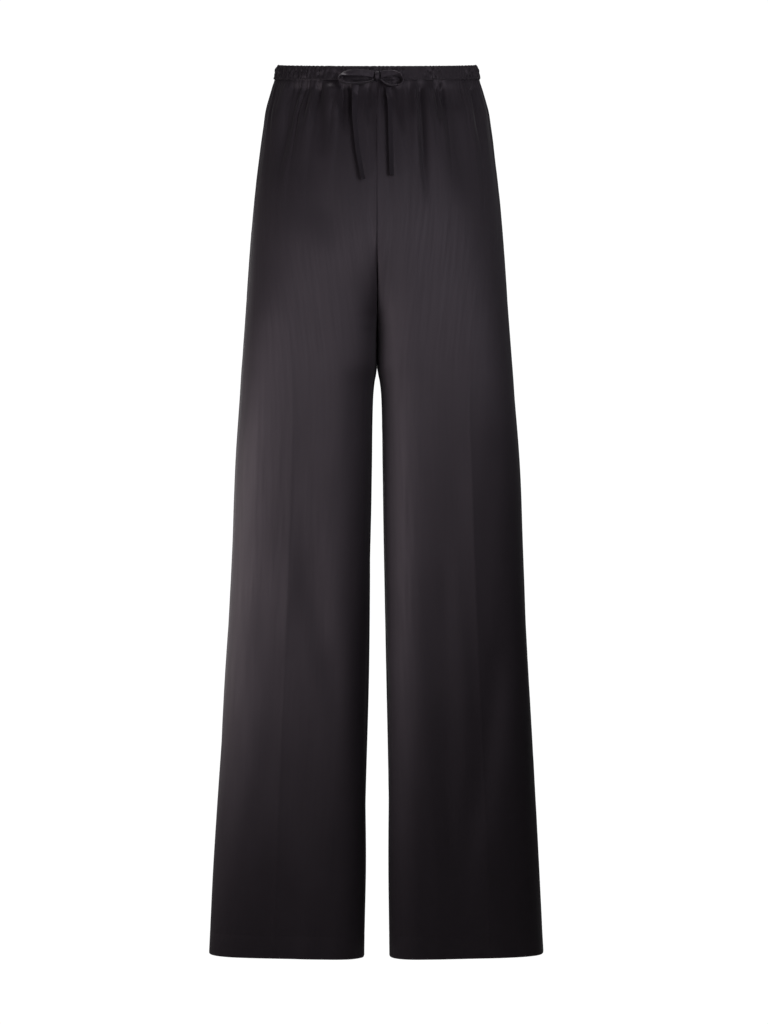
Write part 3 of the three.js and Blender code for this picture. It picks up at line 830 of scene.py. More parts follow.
@dataclass(frozen=True)
class LegPanel:
    """A front or back leg panel: a thin closed shell with its seams turned in and its hem turned up."""

    plan: PanelPlan
    form: GarmentForm
    gathers: Gathers
    columns: int = 168
    gather_height: float = 0.0090
    seam_groove: float = 0.00035
    seam_width: float = 0.0010
    seam_places: tuple[float, ...] = (0, 0.0013, 0.0027, 0.0042, 0.0062)  # closer columns beside a seam
    seam_hold: float = 0.004  # how far from a seam its edge is held in the seam's own plane
    allowance: float = 0.011  # width of each pressed-open seam allowance
    mouth_inset: float = 0.0065  # the pocket mouth's distance inside the side seam
    swell: float = 0.0027  # of the long soft swells down the leg
    ripple: float = 0.00042  # of the finer ones between them
    smooth_edge: float = 0.018  # how far from a seam the cloth's swells begin
    held_width: float = 0.005  # to each side of a hanging end's line the cloth is held down
    held_height: float = 0.0004  # what it may rise there
    held_slope: float = 0.45  # how fast it may rise beside that
    held_rounding: float = 0.0002
    press_edge: float = 0.12  # share of a pressed crease's height that is its sharp edge
    press_edge_width: float = 0.0025
    pucker: float = 0.00016  # height of the puckers beside a seam
    pressed_through: float = 0.00013  # height of the allowance's edge
    hem_roll: float = 0.0012
    blind_pitch: float = 0.009  # of the hem's blind stitches
    allowance_layers: float = 0.00045  # what a seam allowance adds to the thickness
    hem_layers: float = 0.0006  # what the turned-up hem adds to it

    def rows(self) -> Array:
        """Heights of the rows.

        They are close under the waist, down the fork and at the hem, and wider down the leg.
        """
        start = self.plan.face.crotch_start
        below = np.concatenate(([-TUCKED, -0.0003, 0.0003, 0.0009], np.arange(0.0015, 0.045, 0.0015)))
        upper = WAIST_SEAM - below
        trunk = np.linspace(upper[-1], start, 40)[1:]
        fork = start + (CROTCH_Z - start) * np.sin(np.linspace(0, np.pi / 2, 40))[1:]
        leg = np.linspace(CROTCH_Z, HEM_Z + HEM_DEPTH + 0.002, 92)[1:]
        turn = HEM_Z + HEM_DEPTH + np.array([0.0008, 0.0002, -0.0004, -0.0012, -0.003])
        hem = HEM_Z + np.array([0.019, 0.013, 0.007, 0.003, 0.0014, 0.0007, 0.0002, 0.0])
        return np.concatenate((upper, trunk, fork, leg, turn, hem))

    def places(self) -> Array:
        """Places across: an even spread, with closer ones for the grooves at both seams."""
        near = np.array(self.seam_places)
        return np.concatenate((near, np.linspace(0.009, 0.991, self.columns), 1 - near[::-1]))

    def creased(self, places: Array) -> Array:
        """The places, with the nearest one moved onto the pressed crease."""
        moved = places.copy()
        moved[np.abs(places - self.plan.crease).argmin()] = self.plan.crease
        return moved

    def folds(self, x: Array, z: Array) -> Array:
        """Height of the panel's listed folds.

        Formula: a bell across each fold's straight line, eased in and out along it.
        """
        total = np.zeros(x.shape)
        for fold in self.plan.folds:
            along = (z - fold.z0) / (fold.z1 - fold.z0)
            line = fold.x0 + (fold.x1 - fold.x0) * along
            lead = 0.2 if fold.z0 > -0.1 else 0.5
            ends = ease((along + lead) / (lead + 0.15)) * (1 - ease((along - 0.5) / 0.7))
            total += fold.rise * ends * bell(x - line, fold.width)
        return total

    def held_down(self, lift: Array, x: Array, z: Array) -> Array:
        """The gathers' and folds' height, held down under the hanging end of the tie.

        Formula: lift - w ln(1 + exp((lift - cap) / w)) with the rounding w, where the cap is low
        within a few millimetres of the end's line.

        Args:
            lift: heights of the gathers and folds.
            x: half-widths of the points.
            z: their heights.

        Returns:
            The lower heights.
        """
        if self.plan.face is Face.BACK:
            return lift
        route = TAIL_RIGHT if self.plan.side is Side.RIGHT else TAIL_LEFT
        line = np.interp(-z, [-stop.z for stop in route], [abs(stop.x) for stop in route])
        aside = np.maximum(np.abs(x - line) - self.held_width, 0)
        cap = self.held_height + self.held_slope * aside
        return lift - self.held_rounding * np.logaddexp(0, (lift - cap) / self.held_rounding)

    def crease(self, s: Array, z: Array, across: Array) -> Array:
        """Height of the pressed crease: a broad lift to a line, with a sharp edge along it."""
        lift = np.clip(1 - np.abs(s - self.plan.crease) / PRESS_WIDTH, 0, 1) ** 2
        press = self.form.at(z, "press")
        return press * lift + self.press_edge * press * np.exp(-np.abs(across) / self.press_edge_width)

    def drape(self, across: Array, from_seam: Array, z: Array) -> Array:
        """The cloth's own slight swells: long soft ones down the leg, finer ones between them.

        There are none at the seams, so that the panels' edges meet.
        """
        seed = self.plan.seed
        swell = Unevenness(seed).at(across / 0.055 + 7, z / 0.26)
        ripple = Unevenness(seed + 1).at(across / 0.019 + 0.4 * swell, z / 0.11)
        leg = ease((-0.10 - z) / 0.16)
        lift = leg * (self.swell * swell + self.ripple * ripple) + 0.00018 * ripple
        return ease(from_seam / self.smooth_edge) * lift

    def seams(self, from_side: Array, from_inner: Array, z: Array) -> Array:
        """Height at the seams: a groove, the puckers beside it and the allowance's edge.

        The allowance is pressed through. At the centre front the right panel's edge stands up and
        the left one's lies lower, because the allowance is pressed to one side there.
        """
        total = np.zeros(z.shape)
        for number, distance in enumerate((from_side, from_inner)):
            pucker = Unevenness(3 + number).at(z / 0.007, distance / 0.012)
            deeper = 0.5 + 0.5 * ease((-0.1 - z) / 0.1)
            total -= self.seam_groove * deeper * bell(distance, self.seam_width)
            total += self.pucker * pucker * np.exp(-distance / 0.008)
            total += self.pressed_through * bell(distance - self.allowance, 0.0018)
        if self.plan.face is Face.FRONT:
            pressed = ease((-0.14 - z) / 0.06) * ease((z - CROTCH_Z) / 0.03 + 1)
            if self.plan.side is Side.RIGHT:
                total += pressed * 0.0004 * bell(from_inner, 0.0030)
            else:
                total -= pressed * 0.0009 * bell(from_inner - 0.003, 0.0042)
        return total

    def pocket_mouth(self, x: Array, z: Array) -> Array:
        """Height at the pocket mouth beside the side seam.

        The front edge stands up, and the cloth behind it lies lower.

        Args:
            x: half-widths of the points.
            z: their heights.

        Returns:
            The heights.
        """
        if self.plan.face is Face.BACK:
            return np.zeros(x.shape)
        inset = self.form.at(z, "outer") - x - self.mouth_inset
        length = ease((-0.026 - z) / 0.012) * ease((z + 0.150) / 0.012)
        edge = np.where(inset > 0, np.exp(-inset / 0.006), 0) * 0.0007
        return length * (edge - 0.0006 * np.where(inset > 0, 0, bell(inset, 0.003)))

    def hem(self, across: Array, from_seam: Array, z: Array) -> Array:
        """Height at the hem: its upper edge pressed through, pulled in at each blind stitch."""
        pick = bell((across % self.blind_pitch) - self.blind_pitch / 2, 0.0009) * ease(from_seam / 0.006)
        above = z - HEM_Z - HEM_DEPTH
        roll = self.hem_roll * (1 - ease((z - HEM_Z) / 0.0014)) ** 2
        return -0.00010 * bell(above, 0.0022) - 0.00014 * pick * bell(above, 0.0012) - 0.35 * roll

    def thickness(self, from_side: Array, from_inner: Array, z: Array) -> Array:
        """Thickness of the shell: one layer, and more at the seam allowances and the turned-up hem."""
        nearest = np.minimum(from_side, from_inner)
        allowance = self.allowance_layers * ease((self.allowance - nearest) / 0.0008)
        hem = self.hem_layers * ease((HEM_Z + HEM_DEPTH - z) / 0.0008)
        return SATIN + allowance + hem

    def surfaces(self) -> tuple[Array, Array, Array]:
        """The panel's outer and inner surface and the place of each point on the flat cloth.

        Returns:
            Two grids of points, and a grid of distances across from the crease and along.
        """
        plan = self.plan
        heights = self.rows()
        s, z = np.meshgrid(self.creased(self.places()), heights)
        base = self.form.plain(plan.face, s, z)
        out = self.form.outward(plan.face, s, z)
        steps = np.linalg.norm(np.diff(base[..., :2], axis=1), axis=-1)
        from_side = np.concatenate((np.zeros((len(heights), 1)), np.cumsum(steps, axis=1)), axis=1)
        from_inner = from_side[:, -1:] - from_side
        at_crease = np.abs(s[0] - plan.crease).argmin()
        across = from_side - from_side[:, at_crease : at_crease + 1]
        depth = np.maximum(WAIST_SEAM - z, 0)
        gathered = self.gather_height * self.gathers.height(plan.face, plan.side, s, depth)
        loose = (gathered + self.folds(base[..., 0], z)) * (0.2 + 0.8 * ease(depth / 0.013))
        loose = loose * ease(from_side / 0.010)
        from_seam = np.minimum(from_side, from_inner)
        lift = (
            self.held_down(loose, base[..., 0], z) + self.crease(s, z, across)
            + self.drape(across, from_seam, z) + self.seams(from_side, from_inner, z)
            + self.pocket_mouth(base[..., 0], z) + self.hem(across, from_seam, z)
        )
        lift = lift * ease((depth + 0.0002) / 0.0012) - 0.0002 * ease(1 - depth / 0.0012)
        wall = self.thickness(from_side, from_inner, z)
        free_side, free_inner = ease(from_side / self.seam_hold), ease(from_inner / self.seam_hold)
        parted = ease((LEGS_TOUCH - z) / 0.03)
        out[..., 0] *= free_inner + (1 - free_inner) * parted
        out[..., 1] *= np.where(z > CROTCH_Z, 1, free_inner) * free_side
        outer = base + out * lift[..., None]
        inner = base + out * (lift - wall)[..., None]
        for grid in (outer, inner):
            grid[0, :, 2] = heights[0]
            grid[-1, :, 2] = HEM_Z
        outer, inner = (self.form.settle(plan.face, plan.side, grid, z) for grid in (outer, inner))
        return outer, inner, joined(across, z)

    def build(self, face: Material, back: Material) -> None:
        """Builds the panel.

        Args:
            face: the satin's face.
            back: its wrong side.
        """
        outer, inner, cloth = self.surfaces()
        rows, columns = outer.shape[:2]
        count = rows * columns
        points = np.concatenate((outer.reshape(-1, 3), inner.reshape(-1, 3)))
        number = np.arange(count).reshape(rows, columns)
        rim = np.concatenate((number[0], number[1:, -1], number[-1, -2::-1], number[-2:0:-1, 0]))
        following = np.roll(rim, -1)
        sides = np.stack((following, rim, rim + count, following + count), axis=-1)
        shell = MeshWriter.grid_faces(rows, columns)
        quads = np.concatenate((shell, shell[:, ::-1] + count, sides))
        picked = np.concatenate((np.zeros(len(shell)), np.ones(len(shell)), np.zeros(len(sides))))
        turned = MeshWriter.outward(points, quads)
        flat = np.concatenate((cloth.reshape(-1, 2),) * 2)
        crisp = np.arange(len(quads)) >= 2 * len(shell)
        name = f"leg_{self.plan.node}"
        piece = MeshWriter.write(name, points, turned, [face, back], picked, flat, crisp)
        place_for(piece, self.plan.node)


# ---------------------------------------------------------------- waist casing


def rounded_bar(half_width: float, half_thickness: float, rounding: float, along: int,
                corner: int) -> Array:
    """A flat bar's section with rounded corners.

    Formula: four quarter circles, one about each corner's centre, joined by straight sides, of
    which the two long ones are divided.

    Args:
        half_width: half of the long side.
        half_thickness: half of the short side.
        rounding: radius of the corners.
        along: steps of each long side.
        corner: steps of each corner.

    Returns:
        Points round the section, anticlockwise, the long side across.
    """
    turn = np.linspace(0, np.pi / 2, corner + 1)
    reach, depth = half_width - rounding, half_thickness - rounding
    points = []
    for quarter, (across, up) in enumerate(((1, 1), (-1, 1), (-1, -1), (1, -1))):
        angle = turn + quarter * np.pi / 2
        x, y = across * reach + rounding * np.cos(angle), up * depth + rounding * np.sin(angle)
        points.append(joined(x, y))
        if across == up:
            side = np.linspace(across * reach, -across * reach, along + 1)[1:-1]
            points.append(joined(side, up * half_thickness))
    return np.concatenate(points)


@dataclass(frozen=True)
class WaistCasing:
    """Half of the waist casing: a folded channel of satin, drawn together into small gathers."""

    face: Face
    form: GarmentForm
    gathers: Gathers
    columns: int = 460
    thickness: float = 0.0019
    rounding: float = 0.0008  # of the section's corners
    middle: float = 0.0003  # the channel's middle against the waist's form
    gather_height: float = 0.0042
    crumple: float = 0.0011
    inner_share: float = 0.33  # of the gathers' height that the inner side has
    fold_rise: float = 0.0016  # how far the gathers lift the fold line
    corner: float = 0.0026  # how far the fold is drawn in at the side seams
    fullness: float = 1.3  # length of the flat cloth in the length that it is gathered into
    cut_length: float = 0.46  # of the flat strip, before it was gathered
    cut_width: float = 0.019

    @property
    def node(self) -> str:
        """Name of the solid that the casing stands for."""
        return f"waistband_{self.face.value}"

    def section(self) -> Array:
        """The channel's section, with the height across and the depth up."""
        return rounded_bar(CASING_HEIGHT / 2, self.thickness / 2, self.rounding, 16, 4)

    def grid(self) -> tuple[Array, Array]:
        """The casing's surface and the place of each point on the flat cloth.

        Formula: a rounded bar's section stands on its edge at each place round the waist; its outer
        side is lifted by the gathers, which are pinched at the seam and at the fold, and its inner
        side by a third of them.

        Returns:
            A grid of points whose rows go round the section, and their places on the cloth.
        """
        section = self.section()
        share = section[:, 0] / CASING_HEIGHT + 0.5
        outside = ease(section[:, 1] / self.thickness + 0.5)
        way = np.linspace(-1, 1, self.columns)
        place, height = np.meshgrid(way, WAIST_TOP - CASING_HEIGHT * (1 - share))
        s = 1 - np.abs(place)
        base = self.form.plain(self.face, s, height)
        out = self.form.outward(self.face, s, height)
        out[..., 2] = 0
        out = unit(out)
        round_waist = np.where(place < 0, -1, 1) * self.gathers.waist(self.face, Side.LEFT, s)
        level = np.zeros(s.shape)
        right, left = (self.gathers.height(self.face, side, s, level) for side in Side)
        gather = np.where(place < 0, right, left)
        strength = self.gathers.strength(self.face, round_waist)
        row = self.face.out
        crumple = Unevenness(41).at(round_waist / 0.0031, height / 0.0052 + row)
        crumple = crumple + 0.6 * Unevenness(42).at(round_waist / 0.0016, height / 0.0034 + row)
        pinch = (0.55 + 0.5 * np.sin(np.pi * np.clip(share, 0, 1)) ** 0.8)[:, None]
        outer_lift = self.gather_height * gather * pinch + self.crumple * strength * crumple * pinch
        lift = outer_lift * outside[:, None] + outer_lift * self.inner_share * (1 - outside[:, None])
        offset = self.middle + section[:, 1][:, None] + lift
        rise = self.fold_rise * gather * ease((share - 0.8) / 0.2)[:, None]
        x = np.maximum(base[..., 0] + out[..., 0] * offset, 0)
        x = x - self.corner * ease((share - 0.55) / 0.45)[:, None] ** 2 * bell(s, 0.12)
        x = x - 0.0006 * bell(s * 0.2, 0.004) * outside[:, None]
        from_seam = np.maximum(self.face.out * (base[..., 1] + out[..., 1] * offset), 0)
        y = self.form.at(height, "seam") + self.face.out * from_seam
        z = height + self.form.tilt(y, height) + rise
        points = joined(np.sign(place + 1e-9) * x, y, z)
        return points, joined(round_waist * self.fullness, share[:, None] * CASING_HEIGHT)

    def front_at(self, x: float, height: float) -> float:
        """How far forward the casing's outer side stands at a place across, at one height.

        Args:
            x: the place, from the centre.
            height: the height on the upright form.

        Returns:
            The y there.
        """
        points, _ = self.grid()
        column = np.abs(points[..., 0].mean(axis=0) - x).argmin()
        near = points[:, column]
        level = np.abs(near[:, 2] - self.form.tilt(near[:, 1], near[:, 2]) - height) < 0.0012
        return float(self.face.out * (self.face.out * near[level, 1]).max())

    def build(self, finish: Material) -> None:
        """Builds the casing as a closed tube round its half of the waist.

        Args:
            finish: the satin's face.
        """
        points, cloth = self.grid()
        piece = write_tube(
            f"casing_{self.face.value}", points.transpose(1, 0, 2), finish, cloth.transpose(1, 0, 2))
        place_for(piece, self.node)


def end_cap(ring: Array, reverse: bool) -> Array:
    """Quads that close a ring of points: strips between its two halves, as on a flat bar.

    Args:
        ring: numbers of the points, round the section.
        reverse: True to turn the faces over.

    Returns:
        The quads; the last of them may repeat a point.
    """
    count = len(ring)
    near = np.arange(count // 2 - 1)
    far = count - 1 - near
    quads = np.stack((ring[near], ring[near + 1], ring[far - 1], ring[far]), axis=-1)
    return quads[:, ::-1] if reverse else quads


def tube_faces(rings: int, around: int) -> Array:
    """Quads of a tube of that many rings, each of so many points, with a cap at both ends."""
    ring = np.arange(around)
    caps = (end_cap(ring, True), end_cap((rings - 1) * around + ring, False))
    return np.concatenate((MeshWriter.grid_faces(rings, around, wrap=True), *caps))


def write_tube(name: str, rings: Array, finish: Material, cloth: Array) -> Piece:
    """Writes a closed tube.

    Args:
        name: the object's name.
        rings: its points, ring by ring.
        finish: its material.
        cloth: place of each point on the flat cloth, ring by ring.

    Returns:
        The new object.
    """
    points = rings.reshape(-1, 3)
    quads = MeshWriter.outward(points, tube_faces(*rings.shape[:2]))
    return MeshWriter.write(name, points, quads, [finish], cloth=cloth.reshape(-1, 2))


# ---------------------------------------------------------------- the tie


@dataclass(frozen=True)
class Stop:
    """A point of the tie's route.

    twist is 0 where the strap shows its face to the front, and 90 where it is on edge.
    """

    x: float
    y: float
    z: float
    twist: float = 0.0


LOOP_RIGHT = (
    Stop(-0.0036, -0.092, -0.0206),
    Stop(-0.012, -0.0927, -0.019),
    Stop(-0.025, -0.093, -0.0183),
    Stop(-0.036, -0.0927, -0.0188, 25),
    Stop(-0.0435, -0.0926, -0.021, 75),
    Stop(-0.0464, -0.0927, -0.025, 90),
    Stop(-0.043, -0.0936, -0.029, 90),
    Stop(-0.034, -0.0938, -0.031, 90),
    Stop(-0.021, -0.0938, -0.0312, 90),
    Stop(-0.011, -0.0936, -0.0296, 90),
    Stop(-0.004, -0.0928, -0.027, 90),
)
LOOP_LEFT = (
    Stop(0.0046, -0.0919, -0.0206),
    Stop(0.012, -0.0926, -0.0194),
    Stop(0.020, -0.0927, -0.0193, 15),
    Stop(0.027, -0.0927, -0.0208, 60),
    Stop(0.0316, -0.0927, -0.0246, 90),
    Stop(0.0326, -0.0934, -0.0288, 90),
    Stop(0.030, -0.0936, -0.0326, 90),
    Stop(0.024, -0.0938, -0.0342, 90),
    Stop(0.0165, -0.0938, -0.0344, 90),
    Stop(0.010, -0.0936, -0.0316, 90),
    Stop(0.005, -0.0927, -0.0272, 90),
)
TAIL_RIGHT = (
    Stop(-0.0254, -0.0932, -0.033),
    Stop(-0.0266, -0.0939, -0.040),
    Stop(-0.0276, -0.095, -0.048),
    Stop(-0.0282, -0.0969, -0.056),
    Stop(-0.0284, -0.0986, -0.064),
    Stop(-0.0283, -0.1003, -0.072),
    Stop(-0.0279, -0.1019, -0.0805),
    Stop(-0.0272, -0.1035, -0.089),
    Stop(-0.0264, -0.1049, -0.098),
    Stop(-0.0254, -0.1062, -0.107),
    Stop(-0.0243, -0.1075, -0.116),
    Stop(-0.023, -0.1087, -0.125),
    Stop(-0.0215, -0.1098, -0.134),
    Stop(-0.0198, -0.1108, -0.143),
    Stop(-0.0178, -0.1116, -0.152),
)
TAIL_LEFT = (
    Stop(0.0142, -0.0935, -0.0362),
    Stop(0.0146, -0.0945, -0.044),
    Stop(0.0149, -0.0962, -0.052),
    Stop(0.0151, -0.0981, -0.060),
    Stop(0.0153, -0.0998, -0.068),
    Stop(0.0155, -0.1014, -0.076),
    Stop(0.0156, -0.1029, -0.084),
    Stop(0.0157, -0.1043, -0.092),
    Stop(0.0158, -0.1055, -0.100),
    Stop(0.0159, -0.1067, -0.108),
    Stop(0.0161, -0.1078, -0.116),
    Stop(0.0163, -0.1089, -0.124),
    Stop(0.0165, -0.1098, -0.132),
    Stop(0.0168, -0.1106, -0.140),
    Stop(0.0171, -0.1112, -0.147),
)


def travelled(line: Array) -> Array:
    """Way along a line of points from its first one to each."""
    return np.concatenate(([0], np.cumsum(np.linalg.norm(np.diff(line, axis=0), axis=1))))


def smooth_route(stops: Array, steps: int) -> tuple[Array, Array]:
    """Points and directions along a smooth curve through given stops.

    Formula: a centripetal Catmull-Rom curve, whose pace between two stops is the root of their
    distance, with one more stop beyond each end in line with the last two.

    Args:
        stops: the stops.
        steps: steps along the whole curve.

    Returns:
        The points and the unit directions.
    """
    padded = np.concatenate(([2 * stops[0] - stops[1]], stops, [2 * stops[-1] - stops[-2]]))
    place = np.linspace(0, len(stops) - 1, steps + 1)
    i = np.minimum(place.astype(int), len(stops) - 2)
    t = (place - i)[:, None]
    p = [padded[i + k] for k in range(4)]
    pace = [np.sqrt(np.linalg.norm(p[k + 1] - p[k], axis=1))[:, None] for k in range(3)]
    start = (p[1] - p[0]) / pace[0] - (p[2] - p[0]) / (pace[0] + pace[1]) + (p[2] - p[1]) / pace[1]
    end = (p[2] - p[1]) / pace[1] - (p[3] - p[1]) / (pace[1] + pace[2]) + (p[3] - p[2]) / pace[2]
    start, end = start * pace[1], end * pace[1]
    slopes = (6 * t**2 - 6 * t) * (p[1] - p[2])
    slopes = slopes + (3 * t**2 - 4 * t + 1) * start + (3 * t**2 - 2 * t) * end
    return cubic(t, p[1], p[2], start, end), unit(slopes)


@dataclass(frozen=True)
class TieStretch:
    """One stretch of the tie: a strip folded double, edge-stitched and pressed flat, along a route."""

    name: str
    node: str
    stops: tuple[Stop, ...]
    steps: int
    seed: int
    width: float = 0.008
    thickness: float = 0.0013
    roof: float = 0.0010  # how high the strap is folded up along its length
    ridge: float = -0.0012  # where that fold runs, across from the middle
    crumple: float = 0.0006  # how far its faces stand out of true
    lean: tuple[float, float] = (0.0, 0.0)  # degrees of turn about its right edge, early and last
    rounding: float = 0.0005  # of the section's corners
    sink: float = 0.00016  # how far its faces sink between the edges
    stitch_length: float = 0.0022
    stitch_inset: float = 0.0013  # of the edge stitching

    def frames(self) -> tuple[Array, Array, Array]:
        """Centre points, width directions and thickness directions along the stretch."""
        stops = np.array([(stop.x, stop.y, stop.z) for stop in self.stops])
        centre, along = smooth_route(stops, self.steps)
        place = np.linspace(0, len(self.stops) - 1, self.steps + 1)
        twists = np.interp(place, np.arange(len(self.stops)), [stop.twist for stop in self.stops])
        twist = np.radians(twists)[:, None]
        across = unit(np.cross((0.0, -1.0, 0.0), along))
        facing = unit(np.cross(along, across))
        wide = across * np.cos(twist) + facing * np.sin(twist)
        return centre, wide, unit(np.cross(along, wide))

    def mesh(self, finish: Material) -> tuple[Piece, Array]:
        """Builds the strap's mesh.

        Formula: a rounded bar's section carried along the route. Its two flat sides sink towards
        the middle, rise to a fold, ripple unevenly along and bear a fine groove beside each edge,
        where the edge stitching runs. Last, the section is turned about its right edge by the lean.

        Args:
            finish: the tie's satin.

        Returns:
            The strap and its centre line.
        """
        centre, wide, thick = self.frames()
        section = rounded_bar(self.width / 2, self.thickness / 2, self.rounding, 22, 3)
        length = travelled(centre)[:, None]
        lean = np.radians(np.interp(length / length[-1], (0, 0.15, 1), (0, *self.lean)))
        across, edge = section[None, :, 0], self.width / 2
        face = np.clip(section[None, :, 1] / (self.thickness / 2), -1, 1)
        inset = edge - np.abs(across)
        sink = -self.sink * (1 - (2 * across / self.width) ** 2)
        stitch = 0.5 + 0.5 * np.cos(2 * np.pi * length / self.stitch_length)
        groove = -(0.00006 + 0.00008 * stitch) * bell(inset - self.stitch_inset, 0.00035)
        ripple = self.crumple * Unevenness(self.seed).at(length / 0.0062, across / 0.005)
        fold = self.roof * (1 - np.abs(across - self.ridge) / (edge + np.abs(self.ridge)))
        height = section[None, :, 1] + face * (sink + groove) + ripple + fold * ease(length / 0.01)
        sway = 0.00018 * Unevenness(self.seed + 1).at(length / 0.014)
        breadth = across * (1 + 0.03 * Unevenness(self.seed + 2).at(length / 0.02)) + sway
        height = height * np.cos(lean) + (edge - across) * np.sin(lean)
        breadth = edge + (breadth - edge) * np.cos(lean)
        middle = centre + wide * edge * (1 - np.cos(lean)) + thick * edge * np.sin(lean)
        points = centre[:, None] + wide[:, None] * breadth[..., None]
        points = points + thick[:, None] * height[..., None]
        return write_tube(self.name, points, finish, joined(across, length)), middle

    def build(self, finish: Material) -> None:
        """Builds the stretch in place of its solid."""
        piece, _ = self.mesh(finish)
        place_for(piece, self.node)


@dataclass(frozen=True)
class HangingEnd(TieStretch):
    """A hanging end of the tie, hanging free with its whole length in view."""

    roof: float = 0.0
    crumple: float = 0.00034
    lean: tuple[float, float] = (42.0, 52.0)
    length: float = 0.12
    path_steps: int = 28

    def build(self, finish: Material) -> None:
        """Args:
            finish: the tie's satin.
        """
        piece, centre = self.mesh(finish)
        place_for(piece, self.node)


@dataclass(frozen=True)
class Knot:
    """The bow's knot: the strap drawn tight round its own middle."""

    x: float = 0.0005
    y: float = -0.0918
    z: float = -0.0222
    half_width: float = 0.0034
    half_depth: float = 0.0033
    half_height: float = 0.006
    rows: int = 48
    turns: int = 96

    def build(self, finish: Material) -> None:
        """Builds the knot.

        Formula: a barrel on its side. Its radius falls to the axis at both ends as a power of
        1 - |w|³; the wrapped strap's folds run round it as slanting ridges.

        Args:
            finish: the tie's satin.
        """
        rows, turns = self.rows, self.turns
        w = np.sin(np.linspace(-np.pi / 2, np.pi / 2, rows))[1:-1, None]
        angle = np.linspace(0, 2 * np.pi, turns, endpoint=False)[None, :]
        slant = w + 0.22 * np.sin(angle)
        folds = 0.05 * np.cos(2 * np.pi * 1.6 * slant + 0.5)
        folds = folds + 0.03 * Unevenness(23).at(3 * slant, angle * 1.2)
        radius = np.maximum(1 - np.abs(w) ** 3, 0) ** 0.45 * (0.93 + folds)
        pinch = 1 - 0.10 * np.cos(angle) ** 2
        x = self.x + self.half_width * w * pinch
        y = self.y - self.half_depth * radius * np.cos(angle)
        z = self.z + self.half_height * radius * np.sin(angle)
        ends = [(self.x + way * self.half_width, self.y, self.z) for way in (-1, 1)]
        points = np.concatenate((joined(x, y, z).reshape(-1, 3), ends))
        count = (rows - 2) * turns
        number = np.arange(turns)
        following = (number + 1) % turns
        left_tip, right_tip = (np.full(turns, count + k) for k in (0, 1))
        last_ring = count - turns
        left = np.stack((following, number, left_tip, left_tip), axis=-1)
        right = np.stack((last_ring + number, last_ring + following, right_tip, right_tip), axis=-1)
        quads = np.concatenate((MeshWriter.grid_faces(rows - 2, turns, wrap=True), left, right))
        cloth = joined(w * self.half_width, angle * self.half_height).reshape(-1, 2)
        cloth = np.concatenate((cloth, np.zeros((2, 2))))
        turned = MeshWriter.outward(points, quads)
        piece = MeshWriter.write("tie_knot", points, turned, [finish], cloth=cloth)
        place_for(piece, "drawstring_knot")


# ---------------------------------------------------------------- sewing

BUTTONHOLE_X = 0.0085  # of each buttonhole from the centre


@dataclass(frozen=True)
class Buttonhole:
    """A worked buttonhole in the casing, where the tie comes out behind the bow."""

    name: str
    x: float
    casing: WaistCasing
    height: float = -0.0085  # of its middle, from the fold line
    half_length: float = 0.0042
    half_width: float = 0.0011
    thread: float = 0.00036
    stitches: int = 44
    girth: int = 12  # points round the thread

    def build(self, finish: Material) -> None:
        """Builds the buttonhole.

        Formula: a ring of thread that swells at each stitch, carried round a long oval that stands
        upright on the casing's front.

        Args:
            finish: the thread.
        """
        around, girth = 6 * self.stitches, self.girth
        height = WAIST_TOP + self.height
        angle = np.linspace(0, 2 * np.pi, around, endpoint=False)[:, None]
        turn = np.linspace(0, 2 * np.pi, girth, endpoint=False)[None, :]
        swell = self.thread * (1 + 0.25 * np.cos(self.stitches * angle))
        reach = 1 + swell * np.cos(turn) / self.half_width
        x = self.x + self.half_width * np.cos(angle) * reach
        z = self.half_length * np.sin(angle) + swell * np.cos(turn) * np.sin(angle)
        y = self.casing.front_at(self.x, height) - swell * np.sin(turn) * 0.8
        tilt = self.casing.form.tilt(y, np.full(y.shape, height))
        points = joined(x, y, height + z + tilt).reshape(-1, 3)
        quads = MeshWriter.grid_faces(around, girth, wrap=True)
        first, last = np.arange(girth), (around - 1) * girth + np.arange(girth)
        closing = np.stack((last, np.roll(last, -1), np.roll(first, -1), first), axis=-1)
        quads = MeshWriter.outward(points, np.concatenate((quads, closing)))
        cloth = joined(angle * self.half_length, turn * self.thread).reshape(-1, 2)
        piece = MeshWriter.write(self.name, points, quads, [finish], cloth=cloth)
        place_for(piece)


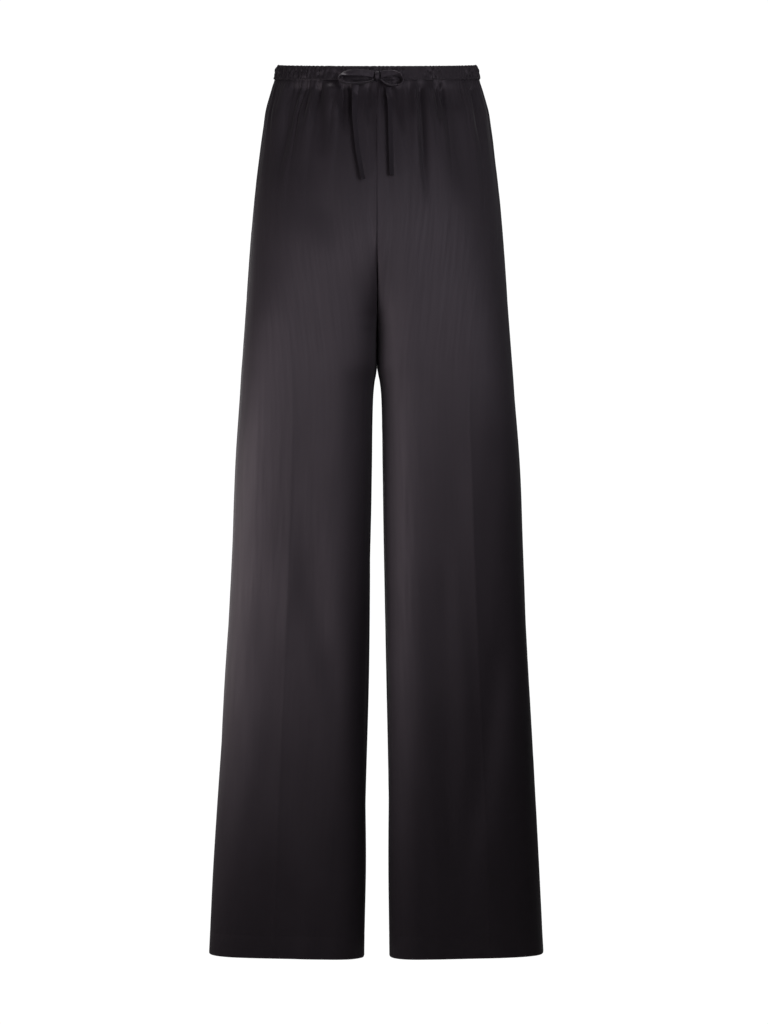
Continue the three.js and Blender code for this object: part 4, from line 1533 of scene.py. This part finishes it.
@dataclass(frozen=True)
class WaistStitches:
    """The row of stitches that holds the casing down, just above the waist seam."""

    casing: WaistCasing
    pitch: float = 0.0026
    length: float = 0.0019
    thread: float = 0.00022
    above_seam: float = 0.0022
    margin: float = 0.006  # how far from the side seams the row starts and ends
    sunk: float = 0.00012  # how deep the stitches lie in the cloth
    rings: int = 7  # of a stitch's capsule
    girth: int = 8  # points in a ring

    def capsule(self) -> Array:
        """One stitch's points, given along, across and out: thinner at its ends and humped between."""
        reach = np.linspace(-1, 1, self.rings)[:, None]
        girth = np.maximum(1 - np.abs(reach) ** 4, 0.04) ** 0.5
        angle = np.linspace(0, 2 * np.pi, self.girth, endpoint=False)
        hump = self.thread * (0.9 - 0.9 * reach**2)
        across, out = girth * np.cos(angle) * self.thread, girth * np.sin(angle) * self.thread
        return joined(reach * self.length / 2, across, out + hump - self.sunk).reshape(-1, 3)

    def line(self) -> Array:
        """The line of the casing's outer surface that the row runs along."""
        points, _ = self.casing.grid()
        section = self.casing.section()
        outer_side = section[:, 1] > self.casing.thickness / 2 - 1e-6
        target = self.above_seam - CASING_HEIGHT / 2
        return points[np.where(outer_side, np.abs(section[:, 0] - target), 1).argmin()]

    def build(self, finish: Material) -> None:
        """Builds the row as one mesh of small capsules.

        Formula: one capsule's points, given along, across and out, are laid along the casing's outer
        surface at each stitch's middle.

        Args:
            finish: the thread.
        """
        line = self.line()
        way = travelled(line)
        middles = np.arange(self.margin, way[-1] - self.margin, self.pitch)
        before, centre, after = (
            np.stack([np.interp(middles + step, way, line[:, k]) for k in range(3)], axis=-1)
            for step in (-0.0006, 0, 0.0006))
        along = unit(after - before)
        out = unit(np.cross(along, (0.0, 0.0, 1.0)))
        out = out * np.sign((out * (centre * [1, 1, 0])).sum(axis=1, keepdims=True))
        local = self.capsule()
        axes = np.stack((along, np.cross(out, along), out), axis=1)
        placed = centre[:, None] + np.einsum("mk,nkd->nmd", local, axes)
        one = MeshWriter.outward(placed[0] - placed[0].mean(axis=0), tube_faces(self.rings, self.girth))
        quads = (one[None] + len(local) * np.arange(len(middles))[:, None, None]).reshape(-1, 4)
        cloth = np.tile(local[:, :2], (len(middles), 1))
        name = f"waist_stitches_{self.casing.face.value}"
        piece = MeshWriter.write(name, placed.reshape(-1, 3), quads, [finish], cloth=cloth)
        place_for(piece)
        log.info("%s: %d stitches", piece.name, len(middles))


# ---------------------------------------------------------------- the whole


def main() -> None:
    """Builds the studio, the tie, the cloth and its sewing."""
    logging.basicConfig(level=logging.INFO, format="%(name)s: %(message)s")
    Studio().build()
    face, back = SATIN_FACE.material(), SATIN_BACK.material()
    tie, thread = TIE_SATIN.material(), THREAD.material()
    right, left = "drawstring_tail_right", "drawstring_tail_left"
    HangingEnd("tie_end_right", right, TAIL_RIGHT, steps=140, seed=101, length=0.122).build(tie)
    HangingEnd("tie_end_left", left, TAIL_LEFT, steps=140, seed=111, length=0.113).build(tie)
    right, left = "drawstring_loop_right", "drawstring_loop_left"
    TieStretch("tie_loop_right", right, LOOP_RIGHT, steps=150, seed=121).build(tie)
    TieStretch("tie_loop_left", left, LOOP_LEFT, steps=150, seed=131).build(tie)
    Knot().build(tie)
    form = GarmentForm(SECTIONS)
    gathers = Gathers(form)
    for plan in PANELS:
        LegPanel(plan, form, gathers).build(face, back)
    casings = {half: WaistCasing(half, form, gathers) for half in Face}
    for casing in casings.values():
        casing.build(face)
        WaistStitches(casing).build(thread)
    Buttonhole("buttonhole_right", -BUTTONHOLE_X, casings[Face.FRONT]).build(thread)
    Buttonhole("buttonhole_left", BUTTONHOLE_X, casings[Face.FRONT]).build(thread)


if __name__ == "__main__":
    main()
